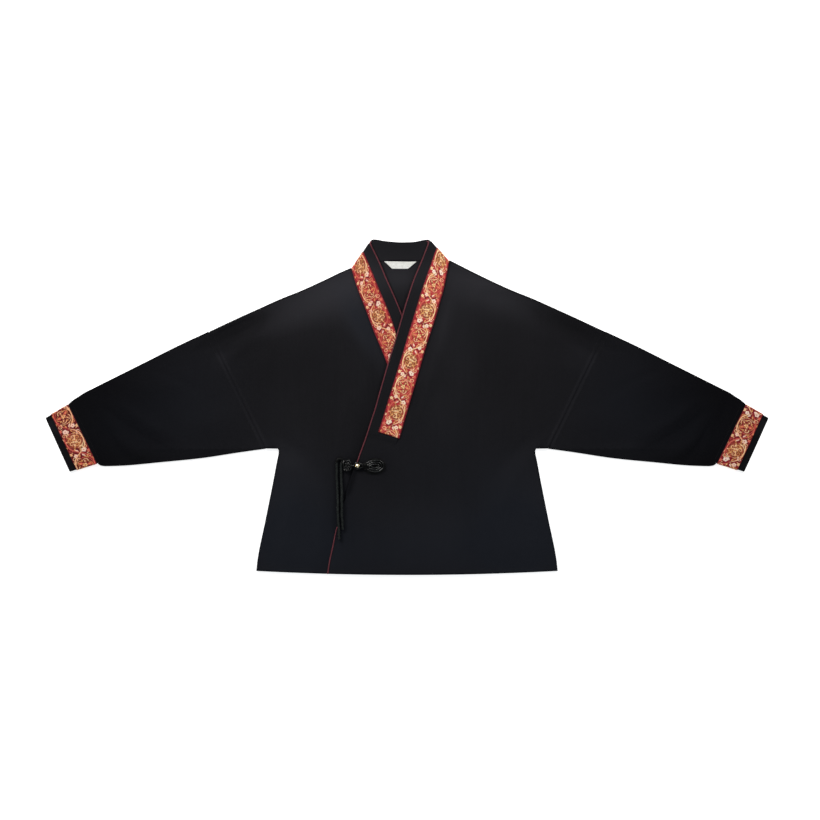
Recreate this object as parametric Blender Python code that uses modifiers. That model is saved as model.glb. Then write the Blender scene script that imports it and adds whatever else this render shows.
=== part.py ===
# Cross-collar jacket (tang jacket) laid flat on a surface.
#
# Frame: +Z up, the garment rests on z = 0, +Y points from hem to neck,
# +X to the wearer's left.  Origin at the middle of the footprint.
# All tables and named sizes are in millimetres; MM turns them into metres.
# "right" and "left" are the wearer's: the right front lies underneath.
import bpy
import bmesh
import math
from mathutils import Vector

MM = 0.001

# ------------------------------------------------------------ named sizes
CLOTH = 1.2            # wall of the wool-type body cloth
RIBBON = 1.0           # woven brocade ribbon
SEAM = 0.3             # clear gap between two sewn pieces
LAY = 0.4              # clear gap between layers that lie on each other
AIR = 0.5              # slack between back and fronts, and inside the sleeves
PIPE_R = 1.5           # piping radius
CORD_R = 1.5           # frog cord radius
TAIL_R = 2.4           # tail cord radius
BEAD_R = 5.0

BACK_MID = CLOTH / 2
FRONT_MID = CLOTH + AIR + CLOTH / 2                     # front lying on the back
STEP_FRONT = CLOTH + LAY                                # one more front layer
STEP_STRIP = CLOTH + LAY + RIBBON + LAY + 0.1                 # over band and ribbon
BAND_UP = CLOTH + LAY + 0.1                             # band mid above the front's mid
RIBBON_UP = CLOTH / 2 + SEAM + RIBBON / 2               # ribbon mid above band mid
EDGE_INSET = (PIPE_R + 0.5) / math.cos(math.radians(24))   # cloth edge to piping axis, along x
FOLD_AXIS = 2.95                                        # height of the collar's fold axis

# ------------------------------------------------------------ outline tables
# shoulder line and top of the sleeve, wearer's right half: x, y
UPPER = (
    # x,     y
    (-85, 292), (-113, 279), (-173, 250), (-213, 232), (-253, 216),
    (-293, 198), (-333, 180), (-397, 150), (-453, 124), (-533, 84),
    (-613, 44), (-633, 34), (-645, 28), (-657, 20), (-665, 15), (-677, 5),
)
# lower edge of the sleeve, from the underarm to the cuff: x, y
LOWER = (
    # x,     y
    (-283, -83), (-333, -90), (-413, -102), (-493, -110), (-573, -116),
    (-603, -116.5), (-612, -115.5), (-619, -111.5),
)
# side seam from the underarm to the hem: y, x
SIDE = (
    # y,     x
    (-84.0, -257), (-88, -253), (-96, -254.5), (-106, -259), (-146, -267),
    (-226, -283), (-306, -299), (-334, -302),
)
# straight slanted armhole seam, shoulder end and underarm end: x, y
ARMHOLE = ((-397, 150), (-283, -83))
# cuff seam (sleeve end) and wrist edge, upper and lower corner: x, y
CUFF_SEAM = ((-677, 5), (-619, -111.5))
WRIST = ((-721, -20), (-671.5, -129.4))
# brocade ribbon round the cuff, as fractions from the wrist edge to the cuff seam
CUFF_RIBBON_FROM = 0.215
CUFF_RIBBON_TO = 0.96

# piped edge of the overlap (wearer's left front): y, x
OVER_EDGE = (
    # y,     x
    (328, 44), (290, 29), (254, 14.2), (218, 2.2), (190, -6.4), (158, -15.6),
    (126, -25), (94, -35), (62, -44.4), (30, -53.6), (-2, -62.6), (-34, -73),
    (-66, -83.4), (-98, -95), (-126, -104), (-186, -122), (-246, -141),
    (-282, -148.6), (-306, -154), (-335, -158.5),
)
# piped edge of the underlap (wearer's right front): y, x
UNDER_EDGE = (
    # y,     x
    (328, -75), (302, -62), (278, -51), (254, -41), (230, -30.2), (206, -19.8),
    (182, -10.4), (126, 5), (62, 22), (-2, 39), (-66, 58), (-186, 96), (-335, 132),
)
# outer edge of the collar strip on each side: y, x
OVER_OUTER = (
    # y,     x
    (289, 82.9), (286, 82.0), (262, 77), (238, 72), (214, 65), (190, 58.5), (166, 51),
    (142, 43), (118, 35.5), (94, 28.5), (70, 21.5), (46, 14.5), (22, 7.5),
    (-2, 0.5), (-26, -6.5), (-50, -13.5), (-70, -19.5),
)
UNDER_OUTER = (
    # y,     x
    (274, -109.8), (262, -106.4), (250, -103), (226, -94.5), (202, -85), (178, -76),
    (154, -67), (130, -57), (106, -47), (86, -39.2), (44, -22.5), (20, -13),
)
# sections of the collar strip on the fronts: height of the inner (piped) end
# and of the outer (ribbon) end of each section, from the lower end upwards
OVER_SECTIONS = (
    # y_inner, y_outer
    (-44, -62.5), (-24, -42), (-4, -22), (16, -2), (36, 18), (56, 38), (76, 58),
    (96, 78), (116, 98), (136, 118), (156, 138), (174, 156), (192, 173),
    (210, 190), (228, 206.5), (245, 222), (261, 236), (276, 249), (290, 260.5),
    (303, 271), (315, 281), (324.7, 289),
)
UNDER_SECTIONS = (
    # y_inner, y_outer
    (60, 42), (78, 60), (96, 78), (114, 96), (132, 114), (150, 131), (168, 148),
    (186, 164), (203, 179), (220, 193.5), (236, 207), (251, 219), (266, 230.5),
    (280, 241), (293, 251), (305, 260), (316, 267.5), (325.5, 274),
)
# sections of the collar behind the neck, from the wearer's right to left:
# top (piped) end and lower (neck seam) end
BACK_SECTIONS = (
    # xt,   yt,    xb,   yb
    (-68, 329.6, -101, 279), (-59, 330.8, -86, 284), (-48, 330.0, -68, 288.3),
    (-36, 328.6, -48, 291.6), (-24, 327.2, -30, 292.8), (-12, 326.6, -13, 293.4),
    (0, 326.8, 4, 293.2), (11, 327.8, 21, 292.4), (21, 329.2, 38, 291.5),
    (30, 330.6, 54, 291.0), (38, 330.6, 70, 290.8),
)
RIBBON_INNER = 0.375    # the ribbon covers the strip from here to its outer edge

# main soft folds as low ridges: start, end, half width and height
FOLDS = (
    # x0,   y0,   x1,   y1,  hw,   h
    (-596, 8, -512, -58, 15, 2.0),
    (-584, -42, -498, -92, 14, 1.6),
    (-560, -90, -520, -104, 10, 1.2),
    (-402, 128, -318, 150, 14, 1.5),
    (-470, 40, -360, 20, 30, 1.0),
    (604, 2, 520, -64, 16, 1.8),
    (582, -50, 506, -94, 13, 1.7),
    (396, 126, 322, 154, 13, 1.6),
    (468, 30, 372, 26, 28, 1.1),
    (-90, 246, -70, 30, 0, 0.0),
    (-262, -60, -200, -150, 26, 1.2),
    (262, -62, 204, -146, 24, 1.3),
    (95, -90, 104, -300, 18, 0.9),
    (-30, -196, -24, -326, 14, 0.9),
)


# ------------------------------------------------------------ small helpers
def clamp(v, lo=0.0, hi=1.0):
    return max(lo, min(hi, v))


def smooth(a, b, v):
    t = clamp((v - a) / (b - a))
    return t * t * (3 - 2 * t)


def lerp(a, b, t):
    return a + (b - a) * t


def curve_at(table, v, key=0, col=1):
    """Value of a table's column at v: cubic through its rows, no overshoot."""
    rows = sorted(table, key=lambda r: r[key])
    xs = [r[key] for r in rows]
    ys = [r[col] for r in rows]
    n = len(xs)
    if v <= xs[0]:
        return ys[0] + (v - xs[0]) * (ys[1] - ys[0]) / (xs[1] - xs[0])
    if v >= xs[-1]:
        return ys[-1] + (v - xs[-1]) * (ys[-1] - ys[-2]) / (xs[-1] - xs[-2])
    i = max(k for k in range(n - 1) if xs[k] <= v)
    slope = [(ys[k + 1] - ys[k]) / (xs[k + 1] - xs[k]) for k in range(n - 1)]

    def tangent(k):
        if k == 0:
            return slope[0]
        if k == n - 1:
            return slope[-1]
        a, b = slope[k - 1], slope[k]
        return 0.0 if a * b <= 0 else 2 * a * b / (a + b)

    h = xs[i + 1] - xs[i]
    t = (v - xs[i]) / h
    m0, m1 = tangent(i) * h, tangent(i + 1) * h
    return ((2 * t ** 3 - 3 * t ** 2 + 1) * ys[i] + (t ** 3 - 2 * t ** 2 + t) * m0
            + (-2 * t ** 3 + 3 * t ** 2) * ys[i + 1] + (t ** 3 - t ** 2) * m1)


def hem_y(x):
    """The hem dips a little towards the middle."""
    return -334.5 + 8.0 * (abs(x) / 301.0) ** 2


def fold_height(x, y):
    """Height of the soft folds at a point of the upper layer."""
    top = 0.0
    for x0, y0, x1, y1, hw, h in FOLDS:
        if h <= 0:
            continue
        dx, dy = x1 - x0, y1 - y0
        length = math.hypot(dx, dy)
        s = ((x - x0) * dx + (y - y0) * dy) / length
        d = abs((x - x0) * dy - (y - y0) * dx) / length
        along = smooth(-0.15 * length, 0.3 * length, s) * (
            1 - smooth(0.7 * length, 1.15 * length, s))
        top = max(top, h * along * math.exp(-(d / hw) ** 2))
    return top


def front_mid(x, y):
    """Mid height of a front that lies straight on the back."""
    return FRONT_MID + fold_height(x, y)


def over_front_mid(x, y):
    """Mid height of the overlap: it climbs over the underlap and its collar."""
    d = (x - curve_at(UNDER_EDGE, y)) * 0.94
    e = (x - curve_at(UNDER_OUTER, y)) * 0.93
    g = (y - (60 - 0.4 * (22 - x))) * 0.93
    w1 = 1 - smooth(8, 62, d)
    w2 = (1 - smooth(9, 58, d)) * smooth(-56, -6, e) * smooth(-56, -5, g)
    return front_mid(x, y) + STEP_FRONT * w1 + (STEP_STRIP + 0.25) * w2


# ------------------------------------------------------------ scene set-up
for ob in list(bpy.data.objects):
    bpy.data.objects.remove(ob, do_unlink=True)
parts = bpy.data.collections.new("tang_jacket")
bpy.context.scene.collection.children.link(parts)
guides = bpy.data.collections.new("guides")
bpy.context.scene.collection.children.link(guides)


def material(name, rgb, rough, metal=0.0):
    m = bpy.data.materials.new(name)
    m.use_nodes = True
    p = m.node_tree.nodes["Principled BSDF"]
    p.inputs["Base Color"].default_value = (*rgb, 1)
    p.inputs["Roughness"].default_value = rough
    p.inputs["Metallic"].default_value = metal
    m.diffuse_color = (*rgb, 1)
    return m


BLACK = material("black_cloth", (0.011, 0.011, 0.013), 0.9)
BROCADE = material("brocade_ribbon", (0.42, 0.09, 0.06), 0.6)
WINE = material("wine_piping", (0.13, 0.02, 0.03), 0.7)
SATIN = material("black_satin", (0.015, 0.016, 0.016), 0.35)
GOLD = material("gold_bead", (0.83, 0.62, 0.28), 0.25, 1.0)
WHITE = material("label_white", (0.85, 0.85, 0.83), 0.7)


def finish_object(ob, mat):
    ob.data.materials.append(mat)
    parts.objects.link(ob)
    return ob


def wall(name, rows, thickness, mat, closed=False):
    """A cloth wall: rows of points are lofted and Solidify gives the thickness.

    Rows run so that the loft's normals point to the upper (outer) side.
    """
    bm = bmesh.new()
    grid = [[bm.verts.new(Vector(p) * MM) for p in row] for row in rows]
    for a, b in zip(grid, grid[1:]):
        n = len(a)
        for i in range(n if closed else n - 1):
            j = (i + 1) % n
            bm.faces.new((a[i], a[j], b[j], b[i]))
    me = bpy.data.meshes.new(name)
    bm.to_mesh(me)
    bm.free()
    ob = bpy.data.objects.new(name, me)
    sol = ob.modifiers.new("wall", "SOLIDIFY")
    sol.thickness = thickness * MM
    sol.offset = 0.0
    sol.use_even_offset = True
    finish_object(ob, mat)
    me.shade_smooth()
    me.set_sharp_from_angle(angle=math.radians(40))
    return ob


def cord(name, points, radius, mat, resolution=2):
    """A round cord along a polyline, with filled ends."""
    cu = bpy.data.curves.new(name, "CURVE")
    cu.dimensions = "3D"
    cu.bevel_depth = radius * MM
    cu.bevel_resolution = resolution
    cu.use_fill_caps = True
    sp = cu.splines.new("POLY")
    sp.points.add(len(points) - 1)
    for p, q in zip(sp.points, points):
        p.co = (*(Vector(q) * MM), 1)
    sp.use_smooth = True
    ob = bpy.data.objects.new(name, cu)
    return finish_object(ob, mat)


def smooth_path(knots, spacing):
    """Points every `spacing` mm on a Catmull-Rom curve through the knots."""
    k = [Vector(p) for p in knots]
    k = [2 * k[0] - k[1]] + k + [2 * k[-1] - k[-2]]
    dense = []
    for i in range(1, len(k) - 2):
        for s in range(24):
            t = s / 24
            a, b, c, d = k[i - 1:i + 3]
            dense.append(0.5 * (2 * b + (c - a) * t + (2 * a - 5 * b + 4 * c - d) * t ** 2
                                + (3 * b - a - 3 * c + d) * t ** 3))
    dense.append(k[-2])
    run = [0.0]
    for a, b in zip(dense, dense[1:]):
        run.append(run[-1] + (b - a).length)
    count = max(2, round(run[-1] / spacing))
    out, j = [], 0
    for i in range(count + 1):
        want = run[-1] * i / count
        while j < len(run) - 2 and run[j + 1] < want:
            j += 1
        f = (want - run[j]) / max(1e-9, run[j + 1] - run[j])
        out.append(dense[j].lerp(dense[j + 1], clamp(f)))
    return out


# ------------------------------------------------------------ body panels
def armhole_x(y):
    (xa, ya), (xb, yb) = ARMHOLE
    return lerp(xa, xb, (ya - y) / (ya - yb))


def body_side_x(y):
    """Outer limit of the body on the wearer's right: shoulder, armhole, side."""
    if y > ARMHOLE[0][1]:
        return curve_at(UPPER, y, key=1, col=0)
    if y > ARMHOLE[1][1] - 0.01:
        return armhole_x(y) + SEAM / 2 / math.cos(math.atan(114 / 233))
    return curve_at(SIDE, y)


# heights of the rows across the body, from the shoulder to the hem
ROW_HEIGHTS = (
    269, 260, 248, 236, 222, 207, 192, 176, 163, 150, 135, 118, 100, 80, 60, 40, 20,
    0, -20, -40, -58, -72, -83, -84.2, -88, -96, -108, -124, -144, -166, -190,
    -216, -243, -272, -302,
)


def row_points(left, right, n, height, bend=lambda x, y: y):
    """n+1 points from left to right; `height` gives the mid surface."""
    out = []
    for i in range(n + 1):
        t = i / n
        x = lerp(left[0], right[0], t)
        y = bend(x, lerp(left[1], right[1], t))
        out.append((x, y, height(x, y)))
    return out


NECK_RIGHT = (-112.5, -109.8)       # x of the neck corner and of the strip's fold, right
NECK_LEFT = (82.8, 85.6)            # the same on the left
NECK_GAP = 0.9                      # the neck edge keeps this clear below the strip


def neck_row(xs, height, level=None):
    """Top row of a panel at the neck, kept below the collar strip."""
    row = []
    for x in xs:
        y = neck_y(x) - NECK_GAP
        if level is not None and NECK_RIGHT[1] < x < NECK_LEFT[0]:
            y = min(y, level)
        row.append((x, y, height(x, y)))
    return row


def even(a, b, n):
    return [lerp(a, b, i / n) for i in range(n + 1)]


def neck_y(x):
    """Back neck seam: the lower edge of the collar strip behind the neck."""
    pts = sorted([(-112.5, 276.0), (-109.8, 274.0), (82.8, 289.1), (85.6, 291.4)]
                 + [(r[2], r[3]) for r in BACK_SECTIONS])
    for (xa, ya), (xb, yb) in zip(pts, pts[1:]):
        if x <= xb or (xb, yb) == pts[-1]:
            return lerp(ya, yb, (x - xa) / (xb - xa))


def build_back():
    xs = [NECK_RIGHT[0]] + even(NECK_RIGHT[1], NECK_LEFT[0], 18) + [NECK_LEFT[1]]
    rows = [neck_row(xs, lambda x, y: BACK_MID)]
    for y in ROW_HEIGHTS:
        x = body_side_x(y)
        rows.append(row_points((x, y), (-x, y), 20, lambda x, y: BACK_MID))
    x = body_side_x(-330)
    rows.append(row_points((x, 0), (-x, 0), 20, lambda x, y: BACK_MID,
                           bend=lambda x, y: hem_y(x)))
    return wall("back", rows[::-1], CLOTH, BLACK)


def build_front_right():
    """Underlap: from the right side seam to its own edge under the overlap."""
    inset = EDGE_INSET
    xs = [NECK_RIGHT[0]] + even(NECK_RIGHT[1], curve_at(UNDER_EDGE, 272) - inset, 12)
    rows = [neck_row(xs, front_mid, 272.8)]
    for y in ROW_HEIGHTS:
        rows.append(row_points((body_side_x(y), y),
                               (curve_at(UNDER_EDGE, y) - inset, y), 13, front_mid))
    rows.append(row_points((body_side_x(-330), 0), (curve_at(UNDER_EDGE, -332) - inset, 0),
                           13, front_mid, bend=lambda x, y: hem_y(x)))
    return wall("front_right", rows[::-1], CLOTH, BLACK)


def build_front_left():
    """Overlap: from its piped edge across to the left side seam."""
    inset = EDGE_INSET
    xs = even(curve_at(OVER_EDGE, 287) + inset, NECK_LEFT[0], 23) + [NECK_LEFT[1]]
    rows = [neck_row(xs, over_front_mid, 287.4)]
    for y in ROW_HEIGHTS:
        rows.append(row_points((curve_at(OVER_EDGE, y) + inset, y),
                               (-body_side_x(y), y), 24, over_front_mid))
    rows.append(row_points((curve_at(OVER_EDGE, -332) + inset, 0), (-body_side_x(-330), 0),
                           24, over_front_mid, bend=lambda x, y: hem_y(x)))
    return wall("front_left", rows[::-1], CLOTH, BLACK)


# ------------------------------------------------------------ flattened tubes
END_STEPS = 4
RUN_STEPS = 12


def flat_ring(upper, lower, z_low, z_high, fold=None):
    """Mid line of a flattened tube between an upper and a lower plan corner.

    The underside is flat at z_low, the top lies at z_high plus the folds, and
    each end is a half round.
    """
    u, l = Vector((*upper, 0)), Vector((*lower, 0))
    r = (z_high - z_low) / 2
    across = (l - u).normalized()
    a, b = u + across * r, l - across * r
    ring = []
    for i in range(RUN_STEPS + 1):                      # underside, upper to lower
        p = a.lerp(b, i / RUN_STEPS)
        ring.append((p.x, p.y, z_low))
    for i in range(1, END_STEPS):                       # lower edge
        w = math.pi * i / END_STEPS
        p = b + across * (r * math.sin(w))
        ring.append((p.x, p.y, z_low + r - r * math.cos(w)))
    for i in range(RUN_STEPS + 1):                      # top, lower to upper
        p = b.lerp(a, i / RUN_STEPS)
        edge = smooth(0, 0.1, i / RUN_STEPS) * (1 - smooth(0.9, 1, i / RUN_STEPS))
        lift = fold(p.x, p.y) * edge if fold else 0.0
        ring.append((p.x, p.y, z_high + lift))
    for i in range(1, END_STEPS):                       # upper edge
        w = math.pi * i / END_STEPS
        p = a - across * (r * math.sin(w))
        ring.append((p.x, p.y, z_high - r + r * math.cos(w)))
    return ring


def mirror_x(rows, side):
    """Rows for the wearer's left are the right's rows mirrored in x."""
    if side < 0:
        return rows
    return [[(-x, y, z) for x, y, z in row][::-1] for row in rows]


# sections along the sleeve: share of the way on the upper and lower edge
SLEEVE_SECTIONS = (
    # upper, lower
    (0.0, 0.0), (0.07, 0.075), (0.15, 0.155), (0.23, 0.24), (0.31, 0.32), (0.39, 0.40),
    (0.47, 0.48), (0.55, 0.565), (0.63, 0.65), (0.70, 0.73), (0.76, 0.80),
    (0.82, 0.86), (0.87, 0.91), (0.915, 0.95), (0.95, 0.975), (0.98, 0.99), (1.0, 1.0),
)


def build_sleeve(side, name):
    gap = 0.8 * SEAM / math.cos(math.atan(114 / 233))
    rings = []
    for su, sl in SLEEVE_SECTIONS:
        ux = lerp(ARMHOLE[0][0] - gap, CUFF_SEAM[0][0] + gap, su)
        lx = lerp(ARMHOLE[1][0] - gap, CUFF_SEAM[1][0] + gap, sl)
        upper = (ux, curve_at(UPPER, ux))
        lower = (lx, curve_at(LOWER, lx))
        fold = (lambda x, y: fold_height(-x, y)) if side > 0 else fold_height
        rings.append(flat_ring(upper, lower, BACK_MID + 0.1, FRONT_MID + 0.1, fold))
    return wall(name, mirror_x(rings, side), CLOTH, BLACK, closed=True)


def cuff_line(t):
    """Upper and lower corner at share t from the wrist edge to the cuff seam."""
    up = tuple(lerp(a, b, t) for a, b in zip(WRIST[0], CUFF_SEAM[0]))
    lo = tuple(lerp(a, b, t) for a, b in zip(WRIST[1], CUFF_SEAM[1]))
    return up, lo


def inset_line(line, by):
    u, l = Vector(line[0]), Vector(line[1])
    d = (l - u).normalized() * by
    return tuple(u + d), tuple(l - d)


CUFF_LOW = RIBBON + SEAM + CLOTH / 2
CUFF_HIGH = CUFF_LOW + CLOTH + AIR
CUFF_INSET = RIBBON + SEAM


def build_cuff(side, name):
    rings = []
    for t in (0.0, 0.12, CUFF_RIBBON_FROM, 0.4, 0.6, 0.8, 0.992):
        rings.append(flat_ring(*inset_line(cuff_line(t), CUFF_INSET + 0.15),
                               CUFF_LOW, CUFF_HIGH))
    return wall(name, mirror_x(rings, side), CLOTH, BLACK, closed=True)


def build_cuff_ribbon(side, name):
    rings = []
    for t in (CUFF_RIBBON_FROM, 0.36, 0.51, 0.66, 0.81, CUFF_RIBBON_TO):
        rings.append(flat_ring(*inset_line(cuff_line(t), 0.0),
                               RIBBON / 2, CUFF_HIGH + RIBBON_UP))
    return wall(name, mirror_x(rings, side), RIBBON, BROCADE, closed=True)


# ------------------------------------------------------------ collar strip
# Every section of the strip is an inner point, an outer point and the
# direction in which the strip's outer face looks; band, ribbon and piping
# are all read from these sections.
ROLL = 8


def strip_front(sections, edge, outer, mid, shift):
    out = []
    for yi, yo in sections:
        pi = Vector((curve_at(edge, yi) + shift, yi, 0))
        po = Vector((curve_at(outer, yo), yo, 0))
        out.append((pi, po, Vector((0, 0, 1)), mid))
    return out


def strip_sections():
    up = RIBBON_UP
    inset = EDGE_INSET
    band = BAND_UP
    under = strip_front(UNDER_SECTIONS, UNDER_EDGE, UNDER_OUTER,
                        lambda x, y: front_mid(x, y) + band, -inset)
    over = strip_front(OVER_SECTIONS, OVER_EDGE, OVER_OUTER,
                       lambda x, y: over_front_mid(x, y) + band, inset)
    front_z = FRONT_MID + band
    back_z = 2 * FOLD_AXIS - front_z
    radius = front_z - FOLD_AXIS
    rings = []
    for pi, po, n, mid in under:
        rings.append(("front", pi, po, n, mid))
    # fold on the wearer's right: from the front round to the back
    pi, po = under[-1][0], under[-1][1]
    along = (po - pi).normalized()
    out_dir = Vector((along.y, -along.x, 0))
    if out_dir.x > 0:
        out_dir = -out_dir
    for k in range(1, ROLL):
        w = math.pi * k / ROLL
        n = out_dir * math.sin(w) + Vector((0, 0, math.cos(w)))
        rings.append(("roll", pi + out_dir * radius * math.sin(w),
                      po + out_dir * radius * math.sin(w), n,
                      FOLD_AXIS + radius * math.cos(w)))
    rings.append(("back", pi.copy(), po.copy(), Vector((0, 0, -1)), back_z))
    for xt, yt, xb, yb in BACK_SECTIONS:
        rings.append(("back", Vector((xt, yt, 0)), Vector((xb, yb, 0)),
                      Vector((0, 0, -1)), back_z))
    pi, po = over[-1][0], over[-1][1]
    rings.append(("back", pi.copy(), po.copy(), Vector((0, 0, -1)), back_z))
    along = (po - pi).normalized()
    out_dir = Vector((along.y, -along.x, 0))
    if out_dir.x < 0:
        out_dir = -out_dir
    for k in range(ROLL - 1, 0, -1):
        w = math.pi * k / ROLL
        n = out_dir * math.sin(w) + Vector((0, 0, math.cos(w)))
        rings.append(("roll", pi + out_dir * radius * math.sin(w),
                      po + out_dir * radius * math.sin(w), n,
                      FOLD_AXIS + radius * math.cos(w)))
    for pi, po, n, mid in reversed(over):
        rings.append(("front", pi, po, n, mid))
    return rings


BACK_RISE = 2.3         # the collar's top edge behind the neck stands this much higher


def back_rise(x, f):
    w = smooth(-72, -56, x) * (1 - smooth(26, 42, x))
    return BACK_RISE * w * (1 - f) ** 3


def strip_rows(f_list, offset):
    """Rows across the strip at the given shares, moved out by `offset`."""
    rows = []
    for kind, pi, po, n, mid in strip_sections():
        row = []
        for f in f_list:
            p = pi.lerp(po, f)
            z = mid(p.x, p.y) if callable(mid) else mid
            if kind == "back":
                z += back_rise(p.x, f)
            row.append((p.x + n.x * offset, p.y + n.y * offset, z + n.z * offset))
        rows.append(row)
    return rows


def build_collar():
    return wall("collar", strip_rows((0, 0.12, 0.25, 0.375, 0.5, 0.65, 0.82, 0.99), 0.0),
                CLOTH, BLACK)


def build_collar_ribbon():
    return wall("collar_ribbon", strip_rows((RIBBON_INNER, 0.53, 0.69, 0.85, 1.0), RIBBON_UP),
                RIBBON, BROCADE)


def build_piping():
    """Piping along the strip's inner edge and on down the overlap to the hem."""
    band = BAND_UP
    lift = band / 2 + 0.15
    pts = []
    high = 2 * FOLD_AXIS - FRONT_MID - band + CLOTH / 2 + LAY + PIPE_R  # over the back strip

    def neck_lift(y, z):
        return lerp(z, max(z, high), smooth(268, 286, y))

    for yi, _ in UNDER_SECTIONS[:-1]:
        x = curve_at(UNDER_EDGE, yi)
        pts.append((x, yi, neck_lift(yi, front_mid(x - 3, yi) + lift)))
    # round the right fold, tuck under the collar's top edge, round the left fold
    turn = (
        # x,     y,     z
        (-73.2, 324.6, 4.35), (-74.4, 327.4, 4.0), (-74.7, 330.0, 3.4), (-73.2, 332.0, 2.75),
        (-70.2, 333.0, 2.2), (-66.2, 333.3, 1.85), (-60.5, 333.2, 1.7), (-54, 332.4, 1.65),
        (-46, 328.6, 1.65), (-34, 326.6, 1.65), (-20, 325.2, 1.65), (-6, 325.0, 1.65),
        (6, 325.7, 1.65), (16, 327.0, 1.65), (24, 329.4, 1.65), (29, 332.6, 1.65),
        (34, 333.4, 1.75), (38.6, 333.5, 1.95), (42.4, 332.9, 2.4), (44.8, 331.2, 3.0),
        (44.6, 328.6, 3.7), (43.2, 326.0, 4.2), (41.8, 323.2, 4.35),
    )
    pts += list(turn)
    for yi, _ in list(OVER_SECTIONS[:-1])[::-1]:
        x = curve_at(OVER_EDGE, yi)
        pts.append((x, yi, neck_lift(yi, over_front_mid(x + 3, yi) + lift)))
    y = OVER_SECTIONS[0][0] - 16
    while y > -326:
        x = curve_at(OVER_EDGE, y)
        fade = lerp(0.5, lift, smooth(-110, -60, y))
        pts.append((x, y, over_front_mid(x + 3, y) + fade))
        y -= 18
    x = curve_at(OVER_EDGE, -332.4)
    pts.append((x, -332.4, over_front_mid(x + 3, -330) + 0.5))
    return cord("piping", pts, PIPE_R, WINE)


# ------------------------------------------------------------ label
# blank trapezoid on the inside of the back, just below the neck seam
LABEL_TOP = (-46, 20)       # x range of the top edge
LABEL_LOW = (-30.3, 2.8)    # x range of the lower edge
LABEL_DROP = 15.0
LABEL_T = 0.8


def build_label():
    z = CLOTH + SEAM + LABEL_T / 2
    rows = []
    for k in range(5):
        t = k / 4
        a, b = lerp(LABEL_TOP[0], LABEL_LOW[0], t), lerp(LABEL_TOP[1], LABEL_LOW[1], t)
        row = []
        for i in range(9):
            x = lerp(a, b, i / 8)
            top = neck_y(lerp(LABEL_TOP[0], LABEL_TOP[1], i / 8)) - 0.8
            row.append((x, lerp(top, 277.0, t), z))
        rows.append(row)
    return wall("label", rows[::-1], LABEL_T, WHITE)


# ------------------------------------------------------------ frog
BEAD_X, BEAD_Y = -98.5, -117.5
EYE_R = 5.7
OVAL = (-65.5, -117.5, 20.0, 12.4)      # centre and outer half axes of the coiled oval
PITCH = 2 * CORD_R + 0.5
KNOT = (-118.0, -116.5)                 # centre of the pretzel knot
TAILS = (
    # name,         x_top, y_top, x_end, y_end
    ("frog_tail_a", -139.0, -109.0, -134.5, -263.0),
    ("frog_tail_b", -131.0, -113.0, -127.5, -244.0),
)


def build_frog_loop():
    """Cord: flat coiled oval, two strands of neck, eye round the bead's foot."""
    cx, cy, a0, b0 = OVAL
    a0, b0 = a0 - CORD_R, b0 - CORD_R
    start, turns = 150.0, 2.75
    steps = 20
    pts = []
    for k in range(int(turns * steps) + 1):
        deg = start - 360.0 * k / steps
        inset = PITCH * k / steps
        a, b = a0 - inset, max(1.2, b0 - inset)
        x = cx + a * math.cos(math.radians(deg))
        y = cy + b * math.sin(math.radians(deg))
        pts.append((x, y, over_front_mid(x, y) + CLOTH / 2 + 0.55 + CORD_R))
    pts = pts[::-1]
    x1, y1 = BEAD_X, BEAD_Y
    eye_z = over_front_mid(x1 + 4, y1) + 0.5 + PIPE_R + 0.6 + CORD_R
    pts.append((x1 + 12.2, y1 + 3.3, eye_z - 0.9))
    for deg in range(35, 326, 29):
        w = math.radians(deg)
        pts.append((x1 + EYE_R * math.cos(w), y1 + EYE_R * math.sin(w), eye_z))
    pts.append((x1 + 9.5, y1 - 2.6, eye_z - 0.4))
    return cord("frog_loop", pts, CORD_R, SATIN), eye_z


def build_bead(eye_z):
    bm = bmesh.new()
    bmesh.ops.create_uvsphere(bm, u_segments=20, v_segments=14, radius=BEAD_R * MM)
    me = bpy.data.meshes.new("frog_bead")
    bm.to_mesh(me)
    bm.free()
    me.shade_smooth()
    ob = bpy.data.objects.new("frog_bead", me)
    ob.location = Vector((BEAD_X, BEAD_Y, eye_z + 4.6)) * MM
    return finish_object(ob, GOLD)


def build_knot():
    """Pretzel knot: a closed four-lobed cushion of cord, flat where it lies."""
    bm = bmesh.new()
    bmesh.ops.create_uvsphere(bm, u_segments=32, v_segments=12, radius=1.0)
    cx, cy = KNOT
    floor = front_mid(cx, cy) + CLOTH / 2 + LAY
    for v in bm.verts:
        ang = math.atan2(v.co.y, v.co.x)
        lobe = 1.0 - 0.16 * (0.5 + 0.5 * math.cos(4 * ang)) ** 2
        x, y = v.co.x * 10.0 * lobe, v.co.y * 14.5 * lobe
        z = max(-2.6, v.co.z * 4.2)
        v.co = Vector((cx + x, cy + y, floor + 2.6 + z)) * MM
    me = bpy.data.meshes.new("frog_knot")
    bm.to_mesh(me)
    bm.free()
    me.shade_smooth()
    ob = bpy.data.objects.new("frog_knot", me)
    return finish_object(ob, SATIN)


def tail_height(x, y):
    """Height of a tail's centre: on the underlap, then over the piped edge."""
    low = front_mid(x, y) + CLOTH / 2 + LAY + TAIL_R
    d = x - curve_at(OVER_EDGE, y)                      # > 0 once past the edge
    edge_top = over_front_mid(x, y) + 0.5 + PIPE_R + LAY + TAIL_R
    panel_top = over_front_mid(x, y) + CLOTH / 2 + LAY + TAIL_R
    z = lerp(low, edge_top, smooth(-24, -5.5, d))
    return lerp(z, panel_top, smooth(5, 14, d))


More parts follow.
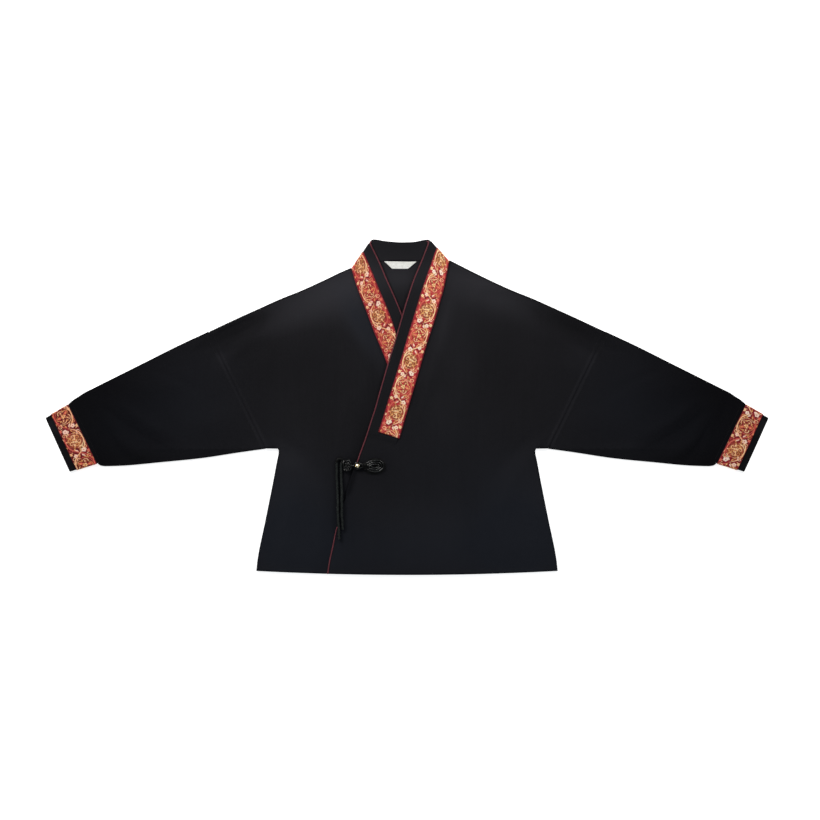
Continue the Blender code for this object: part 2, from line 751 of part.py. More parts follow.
def build_tails():
    out = []
    for name, x0, y0, x1, y1 in TAILS:
        first = name.endswith("a")
        # leaves the knot's end sideways, then turns down
        if first:
            head = [(-130.3, -104.6), (-134.5, -103.6), (-138.2, -105.6)]
        else:
            head = [(-130.6, -110.6)]
        knots = [(x, y, tail_height(x, y)) for x, y in head]
        n = 12
        for k in range(n + 1):
            t = k / n
            x = lerp(x0, x1, t) + 0.5 * math.sin(5 * t + (0 if first else 0.6))
            y = lerp(y0, y1, t)
            knots.append((x, y, tail_height(x, y)))
        out.append(cord(name, smooth_path(knots, 5.0), TAIL_R, SATIN))
    return out


build_back()
build_front_right()
build_front_left()
build_sleeve(-1, "sleeve_right")
build_sleeve(1, "sleeve_left")
build_cuff(-1, "cuff_right")
build_cuff(1, "cuff_left")
build_cuff_ribbon(-1, "cuff_ribbon_right")
build_cuff_ribbon(1, "cuff_ribbon_left")
build_collar()
build_collar_ribbon()
build_piping()
build_label()
loop, eye_height = build_frog_loop()
build_bead(eye_height)
build_knot()
build_tails()
bpy.context.view_layer.update()
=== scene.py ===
# Looks of the cross-collar jacket: every cloth piece as a fine thin shell on its
# solid's form, brocade ribbons with raised woven motifs, piping, corded frog,
# stitches, materials, light and camera.  All tables are in millimetres.
import bpy
import math
import numpy as np
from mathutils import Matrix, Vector


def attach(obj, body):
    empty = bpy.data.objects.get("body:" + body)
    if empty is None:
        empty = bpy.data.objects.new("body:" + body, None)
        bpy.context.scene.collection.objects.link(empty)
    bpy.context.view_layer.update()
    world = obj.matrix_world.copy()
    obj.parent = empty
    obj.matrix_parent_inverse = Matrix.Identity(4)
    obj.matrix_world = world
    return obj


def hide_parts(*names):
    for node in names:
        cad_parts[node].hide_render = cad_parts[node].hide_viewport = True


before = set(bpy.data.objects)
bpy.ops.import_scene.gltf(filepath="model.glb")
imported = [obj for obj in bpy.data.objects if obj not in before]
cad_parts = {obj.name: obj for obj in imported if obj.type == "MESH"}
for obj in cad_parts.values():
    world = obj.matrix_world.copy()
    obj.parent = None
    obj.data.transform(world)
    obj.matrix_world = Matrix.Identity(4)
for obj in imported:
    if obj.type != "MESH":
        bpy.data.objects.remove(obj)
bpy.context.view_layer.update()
MM = 0.001
rng = np.random.default_rng(7)

# ------------------------------------------------------------------ camera
# straight above the garment, as it lies; the frame is 1.64 m wide
cam_data = bpy.data.cameras.new("camera")
cam_data.sensor_width = 36.0
cam_data.lens = 36.0 * 5.0 / 1.64
cam_data.clip_start = 0.1
cam_data.clip_end = 50.0
camera = bpy.data.objects.new("camera", cam_data)
camera.location = (0.006, -0.006, 5.0)
bpy.context.scene.collection.objects.link(camera)
bpy.context.scene.camera = camera

CLOTH = 1.2            # wall of the wool-type body cloth
RIBBON = 1.0           # woven brocade ribbon
SEAM = 0.3             # clear gap between two sewn pieces
LAY = 0.4              # clear gap between layers that lie on each other
AIR = 0.5              # slack between back and fronts, and inside the sleeves
PIPE_R = 1.5           # piping radius
CORD_R = 1.5           # frog cord radius
TAIL_R = 2.4           # tail cord radius
BEAD_R = 5.0

BACK_MID = CLOTH / 2
FRONT_MID = CLOTH + AIR + CLOTH / 2                     # front lying on the back
STEP_FRONT = CLOTH + LAY                                # one more front layer
STEP_STRIP = CLOTH + LAY + RIBBON + LAY + 0.1                 # over band and ribbon
BAND_UP = CLOTH + LAY + 0.1                             # band mid above the front's mid
RIBBON_UP = CLOTH / 2 + SEAM + RIBBON / 2               # ribbon mid above band mid
EDGE_INSET = (PIPE_R + 0.5) / math.cos(math.radians(24))   # cloth edge to piping axis, along x
FOLD_AXIS = 2.95                                        # height of the collar's fold axis

# ------------------------------------------------------------ outline tables
# shoulder line and top of the sleeve, wearer's right half: x, y
UPPER = (
    # x,     y
    (-85, 292), (-113, 279), (-173, 250), (-213, 232), (-253, 216),
    (-293, 198), (-333, 180), (-397, 150), (-453, 124), (-533, 84),
    (-613, 44), (-633, 34), (-645, 28), (-657, 20), (-665, 15), (-677, 5),
)
# lower edge of the sleeve, from the underarm to the cuff: x, y
LOWER = (
    # x,     y
    (-283, -83), (-333, -90), (-413, -102), (-493, -110), (-573, -117.0),
    (-603, -117.8), (-612, -116.6), (-619, -111.8),
)
# side seam from the underarm to the hem: y, x
SIDE = (
    # y,     x
    (-84.0, -258), (-88, -256.4), (-96, -257.3), (-106, -259.5), (-146, -267),
    (-226, -283), (-306, -299), (-334, -302),
)
# straight slanted armhole seam, shoulder end and underarm end: x, y
ARMHOLE = ((-397, 150), (-283, -83))
# cuff seam (sleeve end) and wrist edge, upper and lower corner: x, y
CUFF_SEAM = ((-675.3, 6.2), (-617.3, -112.6))
WRIST = ((-723.1, -21.2), (-673.8, -130.2))
# brocade ribbon round the cuff, as fractions from the wrist edge to the cuff seam
CUFF_RIBBON_FROM = 0.241
CUFF_RIBBON_TO = 0.96

# piped edge of the overlap (wearer's left front): y, x
OVER_EDGE = (
    # y,     x
    (328, 44), (290, 29), (254, 14.2), (218, 2.2), (190, -6.4), (158, -15.6),
    (126, -25), (94, -35), (62, -44.4), (30, -53.6), (-2, -62.6), (-34, -73),
    (-66, -83.4), (-98, -95), (-126, -104), (-186, -122), (-246, -141),
    (-282, -148.6), (-306, -154), (-335, -158.5),
)
# piped edge of the underlap (wearer's right front): y, x
UNDER_EDGE = (
    # y,     x
    (328, -75), (302, -62), (278, -51), (254, -41), (230, -30.2), (206, -19.8),
    (182, -10.4), (126, 5), (62, 22), (-2, 39), (-66, 58), (-186, 96), (-335, 132),
)
# outer edge of the collar strip on each side: y, x
OVER_OUTER = (
    # y,     x
    (289, 82.9), (286, 82.0), (262, 77), (238, 72), (214, 65), (190, 58.5), (166, 51),
    (142, 43), (118, 35.5), (94, 28.5), (70, 21.5), (46, 14.5), (22, 7.5),
    (-2, 0.5), (-26, -6.5), (-50, -13.5), (-70, -19.5),
)
UNDER_OUTER = (
    # y,     x
    (274, -109.8), (262, -106.4), (250, -103), (226, -94.5), (202, -85), (178, -76),
    (154, -67), (130, -57), (106, -47), (86, -39.2), (44, -22.5), (20, -13),
)
# sections of the collar strip on the fronts: height of the inner (piped) end
# and of the outer (ribbon) end of each section, from the lower end upwards
OVER_SECTIONS = (
    # y_inner, y_outer
    (-44, -62.5), (-24, -42), (-4, -22), (16, -2), (36, 18), (56, 38), (76, 58),
    (96, 78), (116, 98), (136, 118), (156, 138), (174, 156), (192, 173),
    (210, 190), (228, 206.5), (245, 222), (261, 236), (276, 249), (290, 260.5),
    (304, 271), (317.5, 281), (330.2, 289),
)
UNDER_SECTIONS = (
    # y_inner, y_outer
    (60, 42), (78, 60), (96, 78), (114, 96), (132, 114), (150, 131), (168, 148),
    (186, 164), (203, 179), (220, 193.5), (236, 207), (251, 219), (266, 230.5),
    (280, 241), (293, 251), (305, 260), (316, 267.5), (325.5, 274),
)
# sections of the collar behind the neck, from the wearer's right to left:
# top (piped) end and lower (neck seam) end
BACK_SECTIONS = (
    # xt,   yt,    xb,   yb
    (-73.4, 331.2, -105, 276.5), (-68.8, 334.6, -101, 279), (-61, 334.7, -86, 284), (-49, 332.5, -68, 288.3),
    (-36, 330.9, -48, 291.6), (-24, 329.8, -30, 292.8), (-12, 329.2, -13, 293.4),
    (0, 329.4, 4, 293.2), (11, 329.8, 21, 292.4), (21, 331.2, 38, 291.5),
    (32, 333.6, 58, 291.0), (39.5, 334.7, 70, 290.8), (44.8, 333.9, 78, 290.2),
)
RIBBON_INNER = 0.375    # the ribbon covers the strip from here to its outer edge

# creases of the front: start, end, sideways bow, half width on the
# left and on the right of the run (looking from start to end), height (mm);
# a negative height is a trough, a long broad row is a soft swell of the cloth
CREASES = (
    # x0,   y0,   x1,   y1,  bow, wl,  wr,    h
    # wearer's right sleeve
    (-588, -14, -484, -86, 7, 9, 11, -1.15),
    (-562, -2, -470, -58, 6, 14, 12, 1.05),
    (-598, -48, -562, -106, 4, 6, 8, -0.95),
    (-572, -66, -528, -98, 3, 10, 11, 0.9),
    (-560, 44, -430, 62, 10, 30, 24, 0.75),
    (-420, -40, -330, -30, -8, 26, 30, 0.85),
    (-640, 14, -606, -70, 5, 12, 9, -0.55),
    (-500, 70, -400, 18, -6, 10, 9, -0.32),
    # wearer's right shoulder and chest
    (-404, 118, -308, 166, -4, 11, 9, -1.3),
    (-398, 142, -300, 188, -3, 9, 8, 0.75),
    (-352, 98, -280, 150, -6, 18, 15, 0.95),
    (-270, 210, -150, 244, 3, 20, 26, 0.7),
    (-112, 262, -74, 30, -6, 14, 15, 1.25),
    (-150, 214, -112, 40, 4, 9, 12, -0.5),
    (-262, 110, -206, -30, 12, 34, 28, -0.55),
    (-196, 150, -160, -40, -8, 26, 30, 0.7),
    (-246, -66, -176, -142, -6, 14, 12, -0.6),
    (-262, -92, -190, -190, -8, 20, 24, 0.95),
    (-118, 10, -128, -88, 4, 10, 12, 0.45),
    # wearer's right lower front
    (-236, -200, -244, -322, 3, 18, 20, 0.7),
    (-204, -150, -206, -326, -3, 10, 12, -0.45),
    (-172, -190, -170, -330, 2, 12, 10, 0.4),
    # wearer's left sleeve
    (582, -22, 478, -88, -6, 11, 9, -1.05),
    (556, -2, 462, -60, -5, 12, 14, 0.95),
    (594, -58, 566, -108, -3, 8, 6, -0.95),
    (570, -72, 522, -98, -3, 11, 10, 0.85),
    (552, 40, 428, 58, -9, 26, 30, 0.7),
    (414, -44, 326, -32, 7, 30, 24, 0.9),
    (636, 10, 602, -74, -5, 9, 12, -0.5),
    (486, 74, 398, 14, 5, 9, 10, -0.35),
    # wearer's left shoulder and chest
    (396, 122, 318, 172, 4, 9, 11, -1.2),
    (404, 138, 306, 186, 3, 8, 9, 0.7),
    (356, 92, 276, 152, 6, 15, 18, 0.85),
    (196, 232, 104, 256, -3, 14, 12, 0.75),
    (146, 236, 118, 120, 5, 24, 26, 0.9),
    (84, 226, 58, 96, 2, 7, 9, -0.55),
    (60, 110, 22, -30, -3, 13, 12, 0.8),
    (212, 180, 176, 60, -9, 26, 24, -0.6),
    (120, 40, 104, -90, 5, 24, 28, 0.65),
    (246, 90, 214, -40, -8, 24, 30, 0.5),
    (250, -64, 178, -138, 6, 12, 14, -0.55),
    (262, -90, 200, -186, 7, 24, 20, 0.9),
    # wearer's left lower front
    (52, -96, 66, -250, 4, 12, 15, -0.35),
    (96, -70, 106, -322, -6, 17, 20, 0.85),
    (142, -130, 152, -326, 4, 13, 12, -0.45),
    (196, -150, 214, -326, 5, 20, 24, 0.6),
    (10, -150, 22, -324, 3, 14, 14, 0.5),
    (-28, -190, -26, -328, -2, 9, 10, -0.3),
    (-62, -176, -68, -328, 2, 13, 12, 0.42),
    (-100, -214, -108, -330, 2, 9, 9, -0.25),
)
# similar, quieter creases on the back
BACK_CREASES = (
    # x0,   y0,   x1,   y1,  bow, wl,  wr,    h
    (-40, 240, -64, 60, 5, 20, 22, 0.22),
    (20, 230, 44, 70, -5, 22, 18, 0.2),
    (-10, 260, -4, 150, 2, 12, 14, -0.15),
)
CREASE_GAIN = 2.2
# broad zones of painted light and shade, some lighter, some darker: centre, half sizes, slant, amount
PAINTED_LIGHT_SHADE = (
    # x,     y,   rx,  ry, slant, amount
    (-150, 230, 104, 42, 24, 0.22), (-112, 234, 50, 50, 20, 0.14), (-92, 168, 18, 62, -62 + 90, 0.30),
    (-232, 188, 90, 40, 25, 0.12), (-480, 96, 120, 20, 26, -0.10), (-612, 20, 54, 26, 30, -0.14), (-205, 96, 62, 66, 0, -0.13), (-300, 60, 46, 60, 10, -0.10),
    (-348, 150, 62, 16, 26, -0.34), (-372, 92, 40, 26, 30, 0.08), (-470, 50, 90, 40, 22, -0.10),
    (-480, -70, 70, 20, -10, 0.10), (-606, -24, 70, 66, 24, -0.44), (-520, -40, 90, 60, 0, -0.17),
    (-245, -220, 62, 96, 0, 0.22), (-190, -290, 70, 30, 0, 0.10), (-250, -110, 40, 24, 0, 0.08),
    (128, 246, 84, 38, -20, 0.16), (186, 220, 78, 28, -25, 0.13), (480, 96, 120, 20, -26, -0.10), (612, 20, 54, 26, -30, -0.12), (72, 170, 15, 58, -16, 0.12),
    (196, 60, 46, 78, 0, -0.10), (110, 90, 40, 90, 0, 0.05), (336, 158, 60, 16, -26, -0.34),
    (356, 96, 44, 28, -30, 0.08), (456, 50, 90, 40, -22, -0.08), (470, -72, 70, 20, 10, 0.10),
    (606, -24, 70, 66, -24, -0.42), (520, -40, 90, 60, 0, -0.13), (238, -236, 60, 92, 0, 0.24),
    (70, -270, 110, 60, 0, 0.14), (-94, -40, 12, 70, -13, -0.10), (-128, -196, 22, 62, 8, -0.16),
    (-60, -150, 54, 22, 0, -0.08), (52, 20, 24, 60, 15, 0.05), (-20, 200, 60, 60, 0, -0.04), (-15, 314, 66, 22, 0, -0.13), (-14, 256, 30, 20, 0, 0.18),
    # painted shade round the frog: darker round the coil and the knot
    (-64, -118, 27, 19, 0, -0.30), (-119, -117, 17, 17, 0, -0.26), (-98, -117, 12, 11, 0, -0.2),
)
# painted cool light: where it looks cooler, low on the body and out along the sleeves
COOL = (
    (-230, -230, 90, 110, 0, 0.9), (0, -290, 330, 70, 0, 0.7), (230, -240, 90, 110, 0, 0.9), (-450, 0, 110, 110, 24, 0.4),
    (60, -140, 120, 110, 0, 0.3),
    (450, 0, 110, 110, -24, 0.45), (-92, 168, 22, 70, 28, 0.8), (-590, -40, 70, 60, 0, 0.35), (590, -40, 70, 60, 0, 0.35),
)


def patches(table, x, y):
    """Sum of soft oval patches at the points."""
    out = np.zeros(np.shape(x))
    for cx, cy, rx, ry, slant, amount in table:
        a = math.radians(slant)
        u = ((x - cx) * math.cos(a) + (y - cy) * math.sin(a)) / rx
        v = (-(x - cx) * math.sin(a) + (y - cy) * math.cos(a)) / ry
        out = out + amount * np.exp(-(u * u + v * v) * 0.8)
    return out


LOFT_SLEEVE = 1.25      # how far the top layer of a sleeve swells in its middle
PUFF = 2.2              # how far the collar stands up at its two folds


# ------------------------------------------------------------ small helpers
def smooth(a, b, v):
    t = np.clip((np.asarray(v, float) - a) / (b - a), 0.0, 1.0)
    return t * t * (3 - 2 * t)


def lerp(a, b, t):
    return a + (b - a) * t


def curve_of(table, key=0, col=1):
    """A table's column as a function: cubic through its rows, no overshoot."""
    rows = sorted(table, key=lambda r: r[key])
    xs = np.array([r[key] for r in rows], float)
    ys = np.array([r[col] for r in rows], float)
    slope = np.diff(ys) / np.diff(xs)
    tan = np.empty(len(xs))
    tan[0], tan[-1] = slope[0], slope[-1]
    prod = slope[:-1] * slope[1:]
    total = slope[:-1] + slope[1:]
    tan[1:-1] = np.where(prod > 0, 2 * prod / np.where(prod > 0, total, 1.0), 0.0)

    def value(v):
        v = np.asarray(v, float)
        i = np.clip(np.searchsorted(xs, v, side="right") - 1, 0, len(xs) - 2)
        h = xs[i + 1] - xs[i]
        t = (v - xs[i]) / h
        m0, m1 = tan[i] * h, tan[i + 1] * h
        out = ((2 * t ** 3 - 3 * t ** 2 + 1) * ys[i] + (t ** 3 - 2 * t ** 2 + t) * m0
               + (-2 * t ** 3 + 3 * t ** 2) * ys[i + 1] + (t ** 3 - t ** 2) * m1)
        out = np.where(v < xs[0], ys[0] + (v - xs[0]) * slope[0], out)
        return np.where(v > xs[-1], ys[-1] + (v - xs[-1]) * slope[-1], out)

    return value


upper_at = curve_of(UPPER)
upper_x = curve_of(UPPER, key=1, col=0)
lower_at = curve_of(LOWER)
side_x = curve_of(SIDE)
over_edge = curve_of(OVER_EDGE)
under_edge = curve_of(UNDER_EDGE)
over_outer = curve_of(OVER_OUTER)
under_outer = curve_of(UNDER_OUTER)


def hem_y(x):
    return -335.8 + 8.0 * (np.abs(x) / 301.0) ** 2


def crease_sum(table, x, y):
    """Sum of the listed ridges and troughs at the points."""
    x, y = np.asarray(x, float), np.asarray(y, float)
    out = np.zeros(np.broadcast(x, y).shape)
    for x0, y0, x1, y1, bow, wl, wr, h in table:
        dx, dy = x1 - x0, y1 - y0
        length = math.hypot(dx, dy)
        s = ((x - x0) * dx + (y - y0) * dy) / length ** 2
        d = ((x - x0) * dy - (y - y0) * dx) / length          # > 0 on the right
        d = d - bow * 4 * np.clip(s, 0, 1) * (1 - np.clip(s, 0, 1))
        wide = np.where(d > 0, wr, wl) * (0.75 + 0.5 * np.clip(s, 0, 1))
        reach = min(0.45, 26.0 / length) + 0.12
        along = smooth(-reach, 0.32, s) * (1 - smooth(0.62, 1 + reach, s))
        out = out + h * along * np.exp(-(d / wide) ** 2)
    return out


def armhole_x(y):
    (xa, ya), (xb, yb) = ARMHOLE
    return lerp(xa, xb, (ya - np.asarray(y, float)) / (ya - yb))


ARM_DIR = np.array([ARMHOLE[1][0] - ARMHOLE[0][0], ARMHOLE[1][1] - ARMHOLE[0][1]], float)
ARM_DIR /= np.linalg.norm(ARM_DIR)
ARM_NORMAL = np.array([ARM_DIR[1], -ARM_DIR[0]])          # towards the sleeve
if ARM_NORMAL[0] > 0:
    ARM_NORMAL = -ARM_NORMAL


def seam_ridge(x, y):
    """Pressed and topstitched armhole seam: two soft ridges beside a groove."""
    ax = -np.abs(np.asarray(x, float))
    d = (ax - ARMHOLE[0][0]) * ARM_NORMAL[0] + (y - ARMHOLE[0][1]) * ARM_NORMAL[1]
    fade = (1 - smooth(100, 124, y))
    low = smooth(-84.5, -80, y)
    ridge = 0.95 * np.exp(-((np.abs(d) - 4.0) / 2.4) ** 2)
    groove = -0.2 * np.exp(-(d / 0.9) ** 2)
    stitch = -0.16 * np.exp(-((np.abs(d) - 6.2) / 0.7) ** 2)
    return (ridge + groove + stitch) * (0.12 + 0.88 * fade) * low


def relief(x, y):
    """Creases of the upper layer, above its resting level."""
    r = CREASE_GAIN * crease_sum(CREASES, x, y)
    return r * (1 - smooth(246, 286, y) * (1 - smooth(120, 190, np.abs(x))))


def swell(x, y):
    """Slow rise of the upper layer away from the silhouette."""
    ax = np.abs(np.asarray(x, float))
    side = -side_x(np.minimum(y, -84.0))
    above = -armhole_x(np.maximum(y, -83.0)) + 90
    inside = smooth(0, 70, lerp(side, above, smooth(-150, -20, y)) - ax)
    hem = smooth(0, 55, y - hem_y(x))
    shoulder = smooth(0, 60, upper_at(-ax) - y)
    frog = 1 - 0.8 * np.exp(-(((x + 105) / 70) ** 2 + ((y + 150) / 95) ** 2))
    return 0.75 * inside * hem * shoulder * frog


def front_mid(x, y):
    r = swell(x, y) + relief(x, y)
    r = r + 0.25 * smooth(0, 60, upper_at(-np.abs(x)) - y)
    r = np.where(r < -0.15, -0.15 - 0.27 * (1 - np.exp(np.minimum(0, r + 0.15) / 0.27)), r)
    return FRONT_MID + r + seam_ridge(x, y)


def over_front_mid(x, y):
    """The overlap climbs over the underlap and its collar."""
    x, y = np.asarray(x, float), np.asarray(y, float)
    d = (x - under_edge(y)) * 0.94
    e = (x - under_outer(y)) * 0.93
    g = (y - (60 - 0.4 * (22 - x))) * 0.93
    w1 = 1 - smooth(8, 62, d)
    w2 = (1 - smooth(9, 58, d)) * smooth(-56, -6, e) * smooth(-56, -5, g)
    return front_mid(x, y) + STEP_FRONT * w1 + (STEP_STRIP + 0.25) * w2


def back_mid(x, y):
    return BACK_MID + np.maximum(0.0, crease_sum(BACK_CREASES, x, y))


# --------------------------------------------------------- mesh construction
root = bpy.context.scene.collection


def mesh_object(name, verts, face_sets, mats, mat_ids=None, uv=None):
    """Object from millimetre points and arrays of faces, all shaded smooth."""
    verts = np.asarray(verts, float).reshape(-1, 3) * MM
    # what lies on the surface is pressed flat by it
    verts[:, 2] = np.maximum(verts[:, 2], 0.0)
    face_sets = [np.asarray(f, np.int64) for f in face_sets if len(f)]
    loops = np.concatenate([f.ravel() for f in face_sets]).astype(np.int32)
    sizes = np.concatenate([np.full(len(f), f.shape[1]) for f in face_sets])
    starts = np.concatenate([[0], np.cumsum(sizes)[:-1]]).astype(np.int32)
    me = bpy.data.meshes.new(name)
    me.vertices.add(len(verts))
    me.vertices.foreach_set("co", verts.astype(np.float32).ravel())
    me.loops.add(len(loops))
    me.loops.foreach_set("vertex_index", loops)
    me.polygons.add(len(sizes))
    me.polygons.foreach_set("loop_start", starts)
    me.polygons.foreach_set("use_smooth", np.ones(len(sizes), bool))
    if mat_ids is not None:
        me.polygons.foreach_set("material_index", np.asarray(mat_ids, np.int32))
    me.update(calc_edges=True)
    if uv is not None:
        layer = me.uv_layers.new(name="threads")
        layer.data.foreach_set("uv", np.asarray(uv, np.float32)[loops].ravel())
    me.validate(verbose=False)
    for m in mats:
        me.materials.append(m)
    # painted light and shade on the black cloth, kept as two point attributes: tone for lighter and darker zones, cool
    # for a bluish cast
    if BLACK in mats or BAND in mats:
        x, y = verts[:, 0] / MM, verts[:, 1] / MM
        for key, table, base in (("tone", PAINTED_LIGHT_SHADE, 0.5), ("cool", COOL, 0.0)):
            layer = me.attributes.new(key, "FLOAT", "POINT")
            value = base + patches(table, x, y)
            if key == "tone":
                # painted highlight along the two ridges of the armhole seam
                d = (-np.abs(x) - ARMHOLE[0][0]) * ARM_NORMAL[0] + (y - ARMHOLE[0][1]) * ARM_NORMAL[1]
                value = value + 0.10 * np.exp(-((np.abs(d) - 4.2) / 2.6) ** 2) * (1 - smooth(96, 126, y)) * (y > -82)
                # painted shadow beside the piping, where the overlap's edge shades the underlap, and down the rolled
                # edge of the overlap
                e = x - over_edge(np.minimum(y, 66.0))
                line = smooth(66, 40, y) * lerp(0.26, 0.52, smooth(10, -70, y)) * (1 - 0.4 * smooth(-112, -124, y))
                value = value - line * (e < 0) * np.exp(-np.maximum(-e - 1.5, 0) / 9.5)
                rolled = smooth(-118, -128, y) * (1 - smooth(-168, -182, y))
                value = value - 0.5 * rolled * np.exp(-((e - 0.5) / 6.0) ** 2)
                # painted shade: every outer edge reads a little darker, where the cloth rounds over
                ax = np.abs(x)
                arm = (ax > 262)
                rim = np.where(arm | ((y > 100) & (ax > 112)), (upper_at(-ax) - y) * 0.9, 99.0)
                rim = np.minimum(rim, np.where(arm & (y > -130), y - lower_at(-ax), 99.0))
                rim = np.minimum(rim, np.where(y < -84, -side_x(np.minimum(y, -84.0)) - ax, 99.0))
                rim = np.minimum(rim, y - hem_y(x))
                value = value - 0.42 * np.exp(-(np.maximum(rim, 0) / 2.6) ** 2)
            layer.data.foreach_set("value", np.clip(value, 0, 1).astype(np.float32))
    ob = bpy.data.objects.new(name, me)
    root.objects.link(ob)
    return ob


def grid_faces(idx, flip=False):
    a, b, c, d = idx[:-1, :-1], idx[:-1, 1:], idx[1:, 1:], idx[1:, :-1]
    f = np.stack([a, b, c, d], -1).reshape(-1, 4)
    return f[:, ::-1] if flip else f


def normals_of(grid, closed=False):
    """Unit normals of a grid of points; columns may close into a ring."""
    if closed:
        tu = np.roll(grid, -1, axis=1) - np.roll(grid, 1, axis=1)
    else:
        tu = np.gradient(grid, axis=1)
    tv = np.gradient(grid, axis=0)
    n = np.cross(tu, tv)
    size = np.linalg.norm(n, axis=-1, keepdims=True)
    return n / np.where(size < 1e-9, 1.0, size)


EDGE = np.array([0.0, 0.06, 0.24, 0.55, 0.98, 1.5])


def offsets(width, n):
    """n+1 evenly spread distances with a fine run at each end; width may be an array."""
    width = np.asarray(width, float)[..., None]
    t = np.linspace(0, 1, n + 1)[1:-1]
    inner = 1.5 + t * (width - 3.0)
    lead = np.broadcast_to(EDGE, width.shape[:-1] + (len(EDGE),))
    return np.concatenate([lead, inner, (width - EDGE[::-1])], axis=-1)


def round_over(d, reach=1.5):
    """Share of the full half thickness at distance d from a cloth edge."""
    t = np.clip(d / reach, 0, 1)
    return np.sqrt(np.clip(1 - (1 - t) ** 2, 0, 1))


def shell(name, mid, half, mats, extra_top=None, uv=None, upright=False):
    """Closed thin shell about a grid of mid points; half is zero on the border."""
    rows, cols = mid.shape[:2]
    n = np.broadcast_to(np.array([0.0, 0.0, 1.0]), mid.shape) if upright else normals_of(mid)
    top = mid + n * half[..., None]
    bot = mid - n * half[..., None]
    if extra_top is not None:
        top = top + n * extra_top[..., None]
    idx_top = np.arange(rows * cols).reshape(rows, cols)
    idx_bot = idx_top.copy()
    inner = np.arange((rows - 2) * (cols - 2)).reshape(rows - 2, cols - 2) + rows * cols
    idx_bot[1:-1, 1:-1] = inner
    verts = np.concatenate([top.reshape(-1, 3), bot[1:-1, 1:-1].reshape(-1, 3)])
    if uv is not None:
        uv = np.concatenate([uv.reshape(-1, 2), uv[1:-1, 1:-1].reshape(-1, 2)])
    return mesh_object(name, verts, [grid_faces(idx_top), grid_faces(idx_bot, True)], mats, uv=uv)


def tube_shell(name, mid, half, mats, uv=None, extra=None):
    """Closed wall about a tube of mid rings (rows along, columns round)."""
    rows, cols = mid.shape[:2]
    n = normals_of(mid, closed=True)
    out = mid + n * half[..., None]
    if extra is not None:
        out = out + n * extra[..., None]
    inn = mid - n * half[..., None]
    idx_out = np.arange(rows * cols).reshape(rows, cols)
    idx_in = idx_out.copy()
    idx_in[1:-1] = np.arange((rows - 2) * cols).reshape(rows - 2, cols) + rows * cols

    def wrap(i):
        return np.concatenate([i, i[:, :1]], axis=1)

    verts = np.concatenate([out.reshape(-1, 3), inn[1:-1].reshape(-1, 3)])
    return mesh_object(name, verts, [grid_faces(wrap(idx_out)), grid_faces(wrap(idx_in), True)], mats, uv=uv)


def frames_along(points, up=(0, 0, 1)):
    """Tangents and two cross directions carried along a line without twist."""
    p = np.asarray(points, float)
    t = np.gradient(p, axis=0)
    t /= np.linalg.norm(t, axis=1, keepdims=True)
    a = np.empty_like(p)
    ref = np.asarray(up, float)
    if abs(np.dot(ref, t[0])) > 0.95:
        ref = np.array([1.0, 0, 0])
    a[0] = ref - np.dot(ref, t[0]) * t[0]
    a[0] /= np.linalg.norm(a[0])
    for i in range(1, len(p)):
        v = a[i - 1] - np.dot(a[i - 1], t[i]) * t[i]
        a[i] = v / np.linalg.norm(v)
    return t, a, np.cross(t, a)


def resample(points, spacing, closed=False):
    """Evenly spaced points on a Catmull-Rom curve through the knots."""
    k = np.asarray(points, float)
    if closed:
        k = np.vstack([k[-1], k, k[0], k[1]])
    else:
        k = np.vstack([2 * k[0] - k[1], k, 2 * k[-1] - k[-2]])
    t = np.linspace(0, 1, 17)[:-1, None]
    parts = []
    for i in range(1, len(k) - 2):
        a, b, c, d = k[i - 1:i + 3]
        parts.append(0.5 * (2 * b + (c - a) * t + (2 * a - 5 * b + 4 * c - d) * t ** 2
                            + (3 * b - a - 3 * c + d) * t ** 3))
    parts.append(k[-2][None])
    dense = np.vstack(parts)
    run = np.concatenate([[0], np.cumsum(np.linalg.norm(np.diff(dense, axis=0), axis=1))])
    count = max(3, int(round(run[-1] / spacing)))
    want = np.linspace(0, run[-1], count + 1)
    out = np.stack([np.interp(want, run, dense[:, j]) for j in range(dense.shape[1])], axis=1)
    return out[:-1] if closed else out


